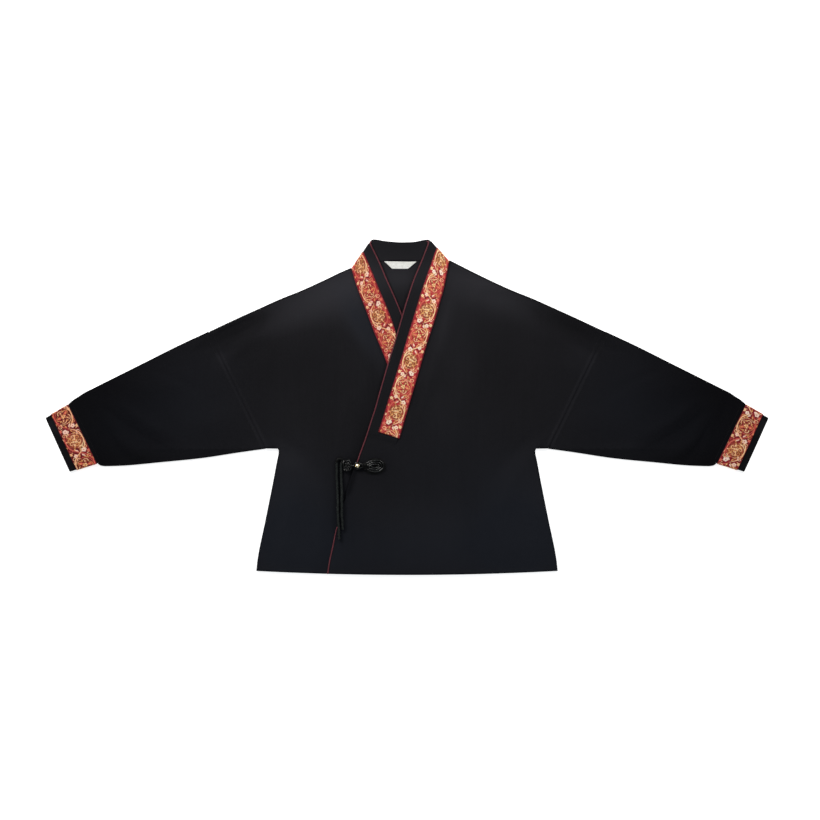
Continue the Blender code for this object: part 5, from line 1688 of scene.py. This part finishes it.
def piping_path():
    """Along the strip's inner edge, under the neck's top edge, down to the hem."""
    lift = BAND_UP / 2 + 0.15
    high = FRONT_Z - 0.75

    def neck_lift(y, z):
        return lerp(z, max(z, high), float(smooth(262, 286, y)))

    pts = []
    for yi in np.arange(UNDER_SECTIONS[0][0], 322.0, 6.0):
        x = float(under_edge(yi))
        z = neck_lift(yi, float(front_mid(x - 3, yi)) + lift)
        pts.append((x + 0.2, yi, z + PUFF * float(smooth(205, 320, yi))))
    turn = (
        # x,     y,     z,    share of the collar's puff
        (-72.9, 324.6, 3.6, 1.0), (-73.6, 327.2, 3.2, 0.85), (-72.9, 329.2, 2.7, 0.6), (-70.6, 330.4, 2.1, 0.3),
        (-67.4, 330.4, 1.6, 0.0), (-62.5, 329.8, 1.42, 0), (-56, 328.8, 1.4, 0), (-46, 327.2, 1.4, 0),
        (-34, 325.8, 1.4, 0), (-20, 324.6, 1.4, 0), (-6, 324.6, 1.4, 0), (6, 325.4, 1.4, 0), (16, 326.8, 1.4, 0),
        (25, 328.4, 1.4, 0), (31, 329.8, 1.42, 0), (36, 330.6, 1.6, 0), (39.8, 331.0, 2.1, 0.3),
        (42.4, 330.4, 2.7, 0.6), (43.2, 328.4, 3.2, 0.85), (42.4, 325.8, 3.6, 1.0),
    )
    pts += [(x, y, z + PUFF * k) for x, y, z, k in turn]
    for yi in np.arange(321.0, OVER_SECTIONS[0][0] - 0.1, -6.0):
        x = float(over_edge(yi))
        z = neck_lift(yi, float(over_front_mid(x + 3, yi)) + lift)
        pts.append((x - 0.2, yi, z + PUFF * float(smooth(205, 320, yi))))
    for y in np.arange(OVER_SECTIONS[0][0] - 6.0, -333.0, -4.0):
        x = float(over_edge(y))
        fade = lerp(0.5, lift, float(smooth(-110, -60, y)))
        roll = float(roll_of(y))
        pts.append((x - 0.2 + 1.2 * roll, y, float(over_front_mid(x + 3, y)) + fade - 1.05 * roll))
    x = float(over_edge(-333.2))
    pts.append((x - 0.2, -333.2, float(over_front_mid(x + 3, -330)) + 0.5))
    return resample(pts, 2.2)


piping = tube("piping_cord", piping_path(), PIPE_V, [WINE], sides=14)
adopt(piping, "wine_piping", "piping")


# ------------------------------------------------------------------- label
def build_label():
    """Blank white label, a trapezoid sewn inside the back of the neck."""
    nu, nv = 45, 17
    top = [(-46.0, 291.2), (-24, 290.9), (-8, 290.6), (6, 290.5), (19.4, 290.6)]
    low = [(-29.8, 276.2), (-20, 276.0), (-13, 275.95), (-5, 276.0), (2.0, 276.3)]
    s = np.linspace(0, 1, nu)
    t = np.linspace(0, 1, nv)

    def row(table):
        table = np.array(table)
        k = np.linspace(0, 1, len(table))
        return np.stack([np.interp(s, k, table[:, 0]), np.interp(s, k, table[:, 1])], -1)

    a, b = row(top), row(low)
    xy = a[:, None] + (b - a)[:, None] * t[None, :, None]
    u, v = np.meshgrid(s, t, indexing="ij")
    lift = (0.16 * np.sin(u * 7.0 + 0.6) * v + 0.5 * v ** 2 * np.exp(-(u / 0.16) ** 2)
            + 0.34 * v ** 2 * np.exp(-((1 - u) / 0.14) ** 2) + 0.14 * np.sin(v * 3.1 + 4 * u))
    z = 1.72 + np.maximum(0, lift)
    d = np.minimum(np.minimum(u * 50, (1 - u) * 50), np.minimum(v * 15, (1 - v) * 15))
    # its side and lower edges are folded under, so they are a little fuller
    fold = 0.12 * np.exp(-((d - 1.0) / 0.7) ** 2)
    half = (0.24 + fold) * round_over(d, 0.5)
    half[0], half[-1], half[:, 0], half[:, -1] = 0, 0, 0, 0
    grid = np.concatenate([xy, z[..., None]], -1)[:, ::-1]
    uv = np.stack([u * 50, v * 15], -1)[:, ::-1]
    return shell("neck_label", grid, half[:, ::-1], [LABEL], uv=uv)


neck_label = build_label()
adopt(neck_label, "label_white", "label")


# -------------------------------------------------------------------- frog
CORD_V = 1.5            # satin cord as seen: strands nearly touch
EYE_AT = (-98.9, -117.3)
EYE_Z = float(over_front_mid(EYE_AT[0] + 4, EYE_AT[1])) + 0.5 + 1.5 + 0.6 + 1.5


def over_top(x, y):
    return float(over_front_mid(x, y)) + CLOTH / 2


def leaf_ring(w, a, b):
    """Slightly leaf-shaped oval: fuller at the far end, tilted a little."""
    x = a * math.cos(w)
    y = b * math.sin(w) * (1.0 + 0.10 * math.cos(w))
    tilt = math.radians(7.0)
    return x * math.cos(tilt) - y * math.sin(tilt), x * math.sin(tilt) + y * math.cos(tilt)


def build_coil():
    """Flat oval coil of satin cord that ends in the loop round the bead."""
    cx, cy = -64.6, -118.6
    pts = []
    turns, start = 3.12, math.radians(196)
    n = 180
    for k in range(n + 1):
        t = k / n
        w = start - 2 * math.pi * turns * t
        shrink = 4.05 * turns * t
        a = max(21.8 - CORD_V - shrink * (1 + 0.10 * t), 5.0)
        b = max(15.3 - CORD_V - shrink, 1.3)
        x, y = leaf_ring(w, a, b)
        x, y = cx + x, cy + y
        z = over_top(x, y) + 0.95 + CORD_V + 0.16 * math.sin(w * 2 + 0.7)
        pts.append((x, y, z))
    coil = pts[::-1]
    # out through the neck, round the bead and back
    ex, ey = EYE_AT
    path = coil + [(-87.2, -116.2, EYE_Z - 0.9), (-91.4, -114.2, EYE_Z - 0.4)]
    for d in range(38, 325, 26):
        w = math.radians(d)
        path.append((ex + 6.1 * math.cos(w), ey + 6.1 * math.sin(w), EYE_Z + 0.25 * math.sin(w)))
    path += [(-91.0, -120.6, EYE_Z - 0.4), (-86.4, -119.6, EYE_Z - 1.0), (-81.6, -118.6, EYE_Z - 2.2)]
    return resample(path, 1.1)


frog_parts = [tube("frog_loop_cord", build_coil(), CORD_V, [SATIN], sides=18)]
# bindings of fine cord that gather the loop's neck; their darker satin is painted shade at the neck
for k, bx in enumerate((-88.6, -85.4, -82.6)):
    ring = []
    for d in range(0, 360, 24):
        w = math.radians(d)
        yb = -117.6 + 4.6 * math.cos(w)
        zb = EYE_Z - 1.15 + 0.1 * k + 2.7 * math.sin(w)
        ring.append((bx + 0.7 * math.sin(w * 2), yb, zb))
    frog_parts.append(tube("frog_binding_%d" % k, resample(ring, 0.8, closed=True), 1.15, [SATIN_SHADED], sides=12, closed=True))


def build_knot():
    """Button knot: one cord woven in three leads and four bights, all puffed."""
    cx, cy, cz = -119.6, -116.9, 6.55
    pts = []
    n = 240
    for k in range(n):
        t = 6 * math.pi * k / n
        r = 1.0 + 0.62 * math.cos(4 * t / 3)
        x = 5.3 * r * math.cos(t + 0.80)
        y = 7.2 * r * math.sin(t + 0.80)
        z = 1.72 * math.sin(8 * t / 3)
        pts.append((cx + x, cy + y, cz + z + 0.35 * (1.4 - r)))
    return resample(pts, 0.9, closed=True)


frog_parts.append(tube("frog_knot_cord", build_knot(), 1.55, [SATIN], sides=18, closed=True))


def puff(name, centre, radii, mat, turn=0.0, rings=14, sides=20):
    """Small stuffed oval."""
    cx, cy, cz = centre
    verts = [(cx, cy, cz + radii[2])]
    ct, st = math.cos(turn), math.sin(turn)
    for i in range(1, rings):
        p = math.pi * i / rings
        for j in range(sides):
            q = 2 * math.pi * j / sides
            x, y = radii[0] * math.sin(p) * math.cos(q), radii[1] * math.sin(p) * math.sin(q)
            verts.append((cx + x * ct - y * st, cy + x * st + y * ct, cz + radii[2] * math.cos(p)))
    verts.append((cx, cy, cz - radii[2]))
    idx = np.arange(1, 1 + (rings - 1) * sides).reshape(rings - 1, sides)
    idx = np.concatenate([idx, idx[:, :1]], axis=1)
    top = np.stack([np.zeros(sides, int), idx[0, :-1], idx[0, 1:]], -1)
    low = np.stack([np.full(sides, len(verts) - 1), idx[-1, 1:], idx[-1, :-1]], -1)
    uv = [(v[0], v[1] * 0.1) for v in verts]
    return mesh_object(name, verts, [top, grid_faces(idx, True), low], [mat], uv=uv)


# dark core of the knot: painted shade in its middle
frog_parts.append(puff("frog_knot_core", (-119.6, -116.9, 5.6), (4.2, 5.6, 2.2), SATIN_SHADED))
# painted shadow under the coil: a flat dark oval, a narrow rim of it showing
frog_parts.append(puff("frog_coil_backing", (-64.6, -118.6, over_top(-64.6, -118.6) + 0.42), (22.8, 16.4, 0.62), SATIN_SHADED,
                       turn=math.radians(7.0), rings=16, sides=48))
# short cord from the knot to the bead
stem = resample([(-112.6, -117.2, 6.9), (-109.0, -117.6, EYE_Z - 0.5), (-105.6, -117.5, EYE_Z + 0.2),
                 (-102.2, -117.3, EYE_Z + 0.5)], 0.8)
frog_parts.append(tube("frog_stem", stem, 1.45, [SATIN], sides=14))
for ob in frog_parts:
    adopt(ob, "black_satin")
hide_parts("frog_loop")
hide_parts("frog_knot")


def build_bead():
    """Pale gold bead: a fluted ball with a small collar round its hole."""
    cx, cy, cz = EYE_AT[0], EYE_AT[1], EYE_Z + 0.5
    rings, sides = 40, 72
    verts, n = [], sides
    for i in range(rings + 1):
        p = math.pi * (0.055 + 0.89 * i / rings)
        for j in range(sides):
            q = 2 * math.pi * j / sides
            flute = 0.14 * (0.5 + 0.5 * math.cos(12 * q)) * math.sin(p) ** 2
            belt = 0.16 * math.exp(-((p - math.pi / 2) / 0.05) ** 2)
            rr = BEAD_R - 0.62 - flute + belt
            # the ball's axis lies along x, as it is threaded
            verts.append((cx - rr * math.cos(p), cy + rr * math.sin(p) * math.cos(q), cz + rr * math.sin(p) * math.sin(q)))
    # hole rims
    idx = np.arange((rings + 1) * sides).reshape(rings + 1, sides)
    idx = np.concatenate([idx, idx[:, :1]], axis=1)
    count = len(verts)
    verts += [(cx - BEAD_R + 1.1, cy, cz), (cx + BEAD_R - 1.1, cy, cz)]
    first = np.stack([np.full(n, count), idx[0, :-1], idx[0, 1:]], -1)
    last = np.stack([np.full(n, count + 1), idx[-1, 1:], idx[-1, :-1]], -1)
    return mesh_object("gold_bead", verts, [first, grid_faces(idx, True), last], [GOLD])


bead = build_bead()
adopt(bead, "gold", "frog_bead")
for sgn in (-1, 1):
    rim = [(EYE_AT[0] + sgn * 4.28, EYE_AT[1] + 1.35 * math.cos(w), EYE_Z + 0.5 + 1.35 * math.sin(w))
           for w in np.linspace(0, 2 * math.pi, 13)[:-1]]
    adopt(tube("bead_rim_%s" % ("a" if sgn < 0 else "b"), resample(rim, 0.5, closed=True), 0.34, [GOLD], sides=10,
               closed=True), "gold")


def tail_height(x, y):
    """Height of a tail's centre: on the underlap, then over the rolled edge."""
    low = float(front_mid(x, y)) + CLOTH / 2 + 0.3 + TAIL_R
    roll = float(roll_of(y))
    edge_top = float(over_front_mid(x, y)) + 0.7 + PIPE_R + TAIL_R + 0.5 * roll
    panel_top = float(over_front_mid(x, y)) + CLOTH / 2 + 0.3 + TAIL_R
    d = x - float(over_edge(y))
    z = lerp(low, edge_top, float(smooth(-24, -5.5, d)))
    return lerp(z, panel_top, float(smooth(5, 14, d)))


TAIL_LINES = {
    "frog_tail_a": [(-129.6, -105.4), (-133.4, -103.7), (-137.2, -104.4), (-139.6, -107.4), (-140.4, -113.0),
                    (-140.2, -130.0), (-139.5, -150.0), (-139.0, -170.0), (-138.3, -190.0), (-137.9, -210.0),
                    (-137.0, -230.0), (-136.2, -248.0), (-135.4, -262.5)],
    "frog_tail_b": [(-129.0, -108.8), (-131.2, -112.0), (-131.7, -118.0), (-131.4, -136.0), (-130.6, -156.0),
                    (-130.4, -176.0), (-130.0, -196.0), (-129.8, -216.0), (-129.2, -232.0), (-128.8, -243.0)],
}
for name, line in TAIL_LINES.items():
    pts = resample([(x, y, tail_height(x, y)) for x, y in line], 1.6)
    # soft flexing of a limp satin cord
    run = np.concatenate([[0], np.cumsum(np.linalg.norm(np.diff(pts, axis=0), axis=1))])
    bend = smooth(12, 40, run) * (0.32 * np.sin(run / 11.0 + (0.4 if name.endswith("a") else 2.0))
                                  + 0.18 * np.sin(run / 4.7 + 1.1))
    pts[:, 0] += bend
    # ends bound and slightly narrower
    r = TAIL_R * (1 - 0.16 * np.exp(-((run - run[-1] + 4.5) / 1.2) ** 2)) * np.ones(len(run))
    ob = tube(name + "_cord", pts, r, [SATIN_TAIL, SATIN_SHADED], sides=24)
    # painted shade: the bend beside the knot takes the darker, duller satin
    for face in ob.data.polygons:
        if face.center.y > -0.1118:
            face.material_index = 1
    adopt(ob, "black_satin", name)


# ---------------------------------------------------------------- stitches
from mathutils.bvhtree import BVHTree


def surface_of(objects):
    """Tree of all the faces of some pieces, to set stitches on their surface."""
    verts, polys = [], []
    for ob in objects:
        base = len(verts)
        verts += [v.co.copy() for v in ob.data.vertices]
        polys += [[base + i for i in p.vertices] for p in ob.data.polygons]
    return BVHTree.FromPolygons(verts, polys)


def drop(tree, xy):
    """Points of a line set down on the surface from above (mm), with normals."""
    out, nor = [], []
    for x, y in xy:
        hit, n, _, _ = tree.ray_cast(Vector((x * MM, y * MM, 0.06)), Vector((0, 0, -1)))
        if hit is None:
            out.append(None)
            nor.append(None)
        else:
            out.append(np.array(hit) / MM)
            nor.append(np.array(n if n.z > 0 else -n))
    return out, nor


def stitch_run(line, pitch, length, wobble=0.12):
    """Start and end points of the stitches along a plan line."""
    p = resample([(x, y, 0.0) for x, y in line], 0.5)[:, :2]
    run = np.concatenate([[0], np.cumsum(np.linalg.norm(np.diff(p, axis=0), axis=1))])
    pairs = []
    s = pitch * 0.4
    while s + length < run[-1]:
        jit = rng.normal(0, 0.06)
        a, b = s + jit, s + jit + length * rng.uniform(0.93, 1.05)
        off = rng.normal(0, wobble * 0.35, 2)
        pairs.append(((np.interp(a, run, p[:, 0]) + off[0], np.interp(a, run, p[:, 1]) + off[1]),
                      (np.interp(b, run, p[:, 0]), np.interp(b, run, p[:, 1]))))
        s += pitch
    return pairs


def stitches(name, ends, slot_name, mats, width=0.5, height=0.34, ride=None):
    """One joined mesh of small capsule stitches; ends are (a, b, normal) in mm."""
    rings, sides = 5, 7
    t = np.linspace(0, 1, rings)
    girth = np.array([0.35, 0.86, 1.0, 0.86, 0.35])
    drop_end = np.array([-0.22, -0.03, 0.03, -0.03, -0.22])
    w = np.linspace(0, 2 * math.pi, sides, endpoint=False)
    verts, faces, tri, count = [], [], [], 0
    uvs = []
    for a, b, n in ends:
        a, b, n = np.asarray(a, float), np.asarray(b, float), np.asarray(n, float)
        d = b - a
        size = np.linalg.norm(d)
        if size < 1e-6:
            continue
        d /= size
        n = n - np.dot(n, d) * d
        n /= np.linalg.norm(n)
        side = np.cross(d, n)
        centre = a[None] + (b - a)[None] * t[:, None] + n[None] * (0.06 + drop_end)[:, None]
        ring = (side[None, None] * (np.cos(w)[None, :, None] * width / 2)
                + n[None, None] * (np.sin(w)[None, :, None] * height / 2)) * girth[:, None, None]
        pts = (centre[:, None] + ring).reshape(-1, 3)
        idx = np.arange(rings * sides).reshape(rings, sides) + count
        idx = np.concatenate([idx, idx[:, :1]], axis=1)
        faces.append(grid_faces(idx))
        c0, c1 = count + rings * sides, count + rings * sides + 1
        verts.append(pts)
        verts.append(np.array([centre[0] - d * 0.1 - n * 0.1, centre[-1] + d * 0.1 - n * 0.1]))
        tri.append(np.stack([np.full(sides, c0), idx[0, 1:], idx[0, :-1]], -1))
        tri.append(np.stack([np.full(sides, c1), idx[-1, :-1], idx[-1, 1:]], -1))
        uv = np.stack(np.broadcast_arrays((t * size)[:, None], (w / (2 * math.pi) * 1.2)[None, :]), -1).reshape(-1, 2)
        uvs.append(np.vstack([uv, uv[:1], uv[-1:]]))
        count += rings * sides + 2
    faces = np.concatenate(faces)
    v = np.concatenate(verts)
    # all capsules are wound the same way; turn them if they face inwards
    f0 = faces[sides * 2]
    c = v[f0].mean(0)
    nn = np.cross(v[f0[1]] - v[f0[0]], v[f0[2]] - v[f0[0]])
    inside = v[:rings * sides].mean(0)
    flip = np.dot(nn, c - inside) < 0
    sets = [faces[:, ::-1] if flip else faces]
    tris_ = np.concatenate(tri)
    sets.append(tris_[:, ::-1] if flip else tris_)
    ob = mesh_object(name, v, sets, mats, uv=np.concatenate(uvs))
    return adopt(ob, slot_name)


def lay(tree, line, pitch, length, lift=0.0):
    out = []
    pairs = stitch_run(line, pitch, length)
    flat = [p for pair in pairs for p in pair]
    pts, nor = drop(tree, flat)
    for k in range(0, len(pts), 2):
        if pts[k] is None or pts[k + 1] is None or abs(pts[k][2] - pts[k + 1][2]) > 1.2:
            continue
        n = nor[k] + nor[k + 1]
        n /= np.linalg.norm(n)
        out.append((pts[k] + n * lift, pts[k + 1] + n * lift, n))
    return out


cloth_top = surface_of([front_right, front_left, sleeve_right, sleeve_left, collar, collar_ribbon, back])
black_ends = []
(xa, ya), (xb, yb) = ARMHOLE
for sign in (1, -1):
    for off in (-6.4, 6.4):
        line = [(sign * (lerp(xa, xb, t) + ARM_NORMAL[0] * off), lerp(ya, yb, t) + ARM_NORMAL[1] * off)
                for t in np.linspace(0.03, 0.985, 12)]
        black_ends += lay(cloth_top, line, 3.1, 2.25)
    # beside the cuff's seam
    (ux, uy), (lx, ly) = CUFF_SEAM
    line = [(sign * (lerp(ux + 6.0, lx + 5.0, t)), lerp(uy + 1.5, ly + 0.5, t)) for t in np.linspace(0.06, 0.94, 9)]
    black_ends += lay(cloth_top, line, 3.1, 2.2)
# hem, on the underlap and on the overlap
for x0, x1 in ((-298, float(over_edge(-328)) - 5), (float(over_edge(-328)) + 4, 298)):
    xs = np.linspace(x0, x1, 24)
    black_ends += lay(cloth_top, [(x, float(hem_y(x)) + 8.8) for x in xs], 3.3, 2.4)
# along the band beside the piping
line = [(float(over_edge(y)) + 4.4, y) for y in np.linspace(-36, 312, 40)]
black_ends += lay(cloth_top, line, 2.9, 2.0)
line = [(float(under_edge(y)) - 4.4, y) for y in np.linspace(150, 312, 22)]
black_ends += lay(cloth_top, line, 2.9, 2.0)
# down the overlap's edge below the band
for y0, y1 in ((-70, -110), (-246, -330)):
    line = [(float(over_edge(y)) + 5.2, y) for y in np.linspace(y0, y1, 14)]
    black_ends += lay(cloth_top, line, 3.2, 2.3)
stitches("black_stitches", black_ends, "black_cloth", [STITCH])

red_ends = []
for lat in (collar_lat, cuff_lat_right, cuff_lat_left):
    for v in (-18.9, 18.9):
        u = np.arange(1.2, lat.length - 3.0, 2.7)
        a = lat.at(u, np.full(len(u), v), np.full(len(u), 0.16))
        b = lat.at(u + 1.9, np.full(len(u), v), np.full(len(u), 0.16))
        up = lat.at(u + 0.9, np.full(len(u), v), np.full(len(u), 1.5))
        for p, q, r in zip(a, b, up):
            red_ends.append((p, q, r - (p + q) / 2))
u = np.full(13, 1.3)
v = np.linspace(-17.4, 16.6, 13)
a, b = collar_lat.at(u, v, np.full(13, 0.2)), collar_lat.at(u, v + 1.9, np.full(13, 0.2))
up = collar_lat.at(u, v + 0.9, np.full(13, 1.5))
red_ends += [(p, q, r - (p + q) / 2) for p, q, r in zip(a, b, up)]
stitches("ribbon_stitches", red_ends, "brocade", [SELVEDGE], width=0.42, height=0.3)

# the label's stitches: along its top edge and a bar at each lower corner
label_top = surface_of([bpy.data.objects["neck_label"]])
white_ends = lay(label_top, [(-43.0, 289.7), (-20, 289.4), (0, 289.2), (17.0, 289.3)], 3.4, 2.2)
for x0, x1 in ((-28.6, -25.6), (-2.4, 0.8)):
    white_ends += lay(label_top, [(x0, 277.4), (x1, 277.4)], 3.4, 2.2)
stitches("label_stitches", white_ends, "label_white", [LABEL_THREAD], width=0.4, height=0.3)


# ------------------------------------------------------------ floor and light
def floor_material():
    """Plain pale studio floor, faintly mottled, with a little glow of its own."""
    g = Graph("pale_floor")
    at = g.place("Object", (1, 1, 1))
    c = g.mix(g.remap(g.noise(at, 3.0, 2.0, 0.5), 0.0, 1.0, 0.3, 0.7), (0.86, 0.86, 0.86), (0.9, 0.9, 0.9))
    return g.finish(c, 0.9, g.bump(g.noise(at, 40.0, 2.0, 0.5), 0.0002, 0.1),
                    Specular_IOR_Level=0.05, Emission_Color=(1, 1, 1, 1), Emission_Strength=0.7)


floor_mesh = bpy.data.meshes.new("floor")
S = 9.0
floor_mesh.from_pydata([(-S, -S, -0.0004), (S, -S, -0.0004), (S, S, -0.0004), (-S, S, -0.0004)], [], [(0, 1, 2, 3)])
floor_mesh.materials.append(floor_material())
floor = bpy.data.objects.new("floor", floor_mesh)
root.objects.link(floor)
floor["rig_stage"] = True


def softbox(name, location, target, size, power, color=(1, 1, 1)):
    light = bpy.data.lights.new(name, "AREA")
    light.shape = "RECTANGLE"
    light.size, light.size_y = size
    light.energy = power
    light.color = color
    ob = bpy.data.objects.new(name, light)
    ob.location = location
    ob.rotation_mode = "QUATERNION"
    ob.rotation_quaternion = (Vector(target) - Vector(location)).to_track_quat("-Z", "Y")
    root.objects.link(ob)
    return ob


softbox("key", (-1.25, 1.45, 0.95), (0.0, 0.0, 0.0), (0.9, 0.6), 46.0, (1.0, 0.99, 0.97))
softbox("key_right", (1.15, 1.2, 0.9), (0.0, 0.0, 0.0), (0.7, 0.5), 17.0, (1.0, 0.99, 0.97))
softbox("fill_front", (0.25, -1.7, 1.3), (0.0, -0.1, 0.0), (1.6, 0.6), 11.0, (0.88, 0.95, 1.0))
world = bpy.data.worlds.new("studio")
world.use_nodes = True
world.node_tree.nodes["Background"].inputs["Color"].default_value = (0.96, 0.98, 1.0, 1)
world.node_tree.nodes["Background"].inputs["Strength"].default_value = 0.16
bpy.context.scene.world = world
view = bpy.context.scene.view_settings
view.view_transform = "Standard"
view.look = "None"
view.exposure = 0.0
view.gamma = 1.0

tris = {o.name: sum(len(p.vertices) - 2 for p in o.data.polygons) for o in bpy.data.objects
        if o.type == "MESH" and not o.hide_render and not o.get("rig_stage")}
print("TRIS", sum(tris.values()), sorted(tris.items(), key=lambda t: -t[1])[:8])
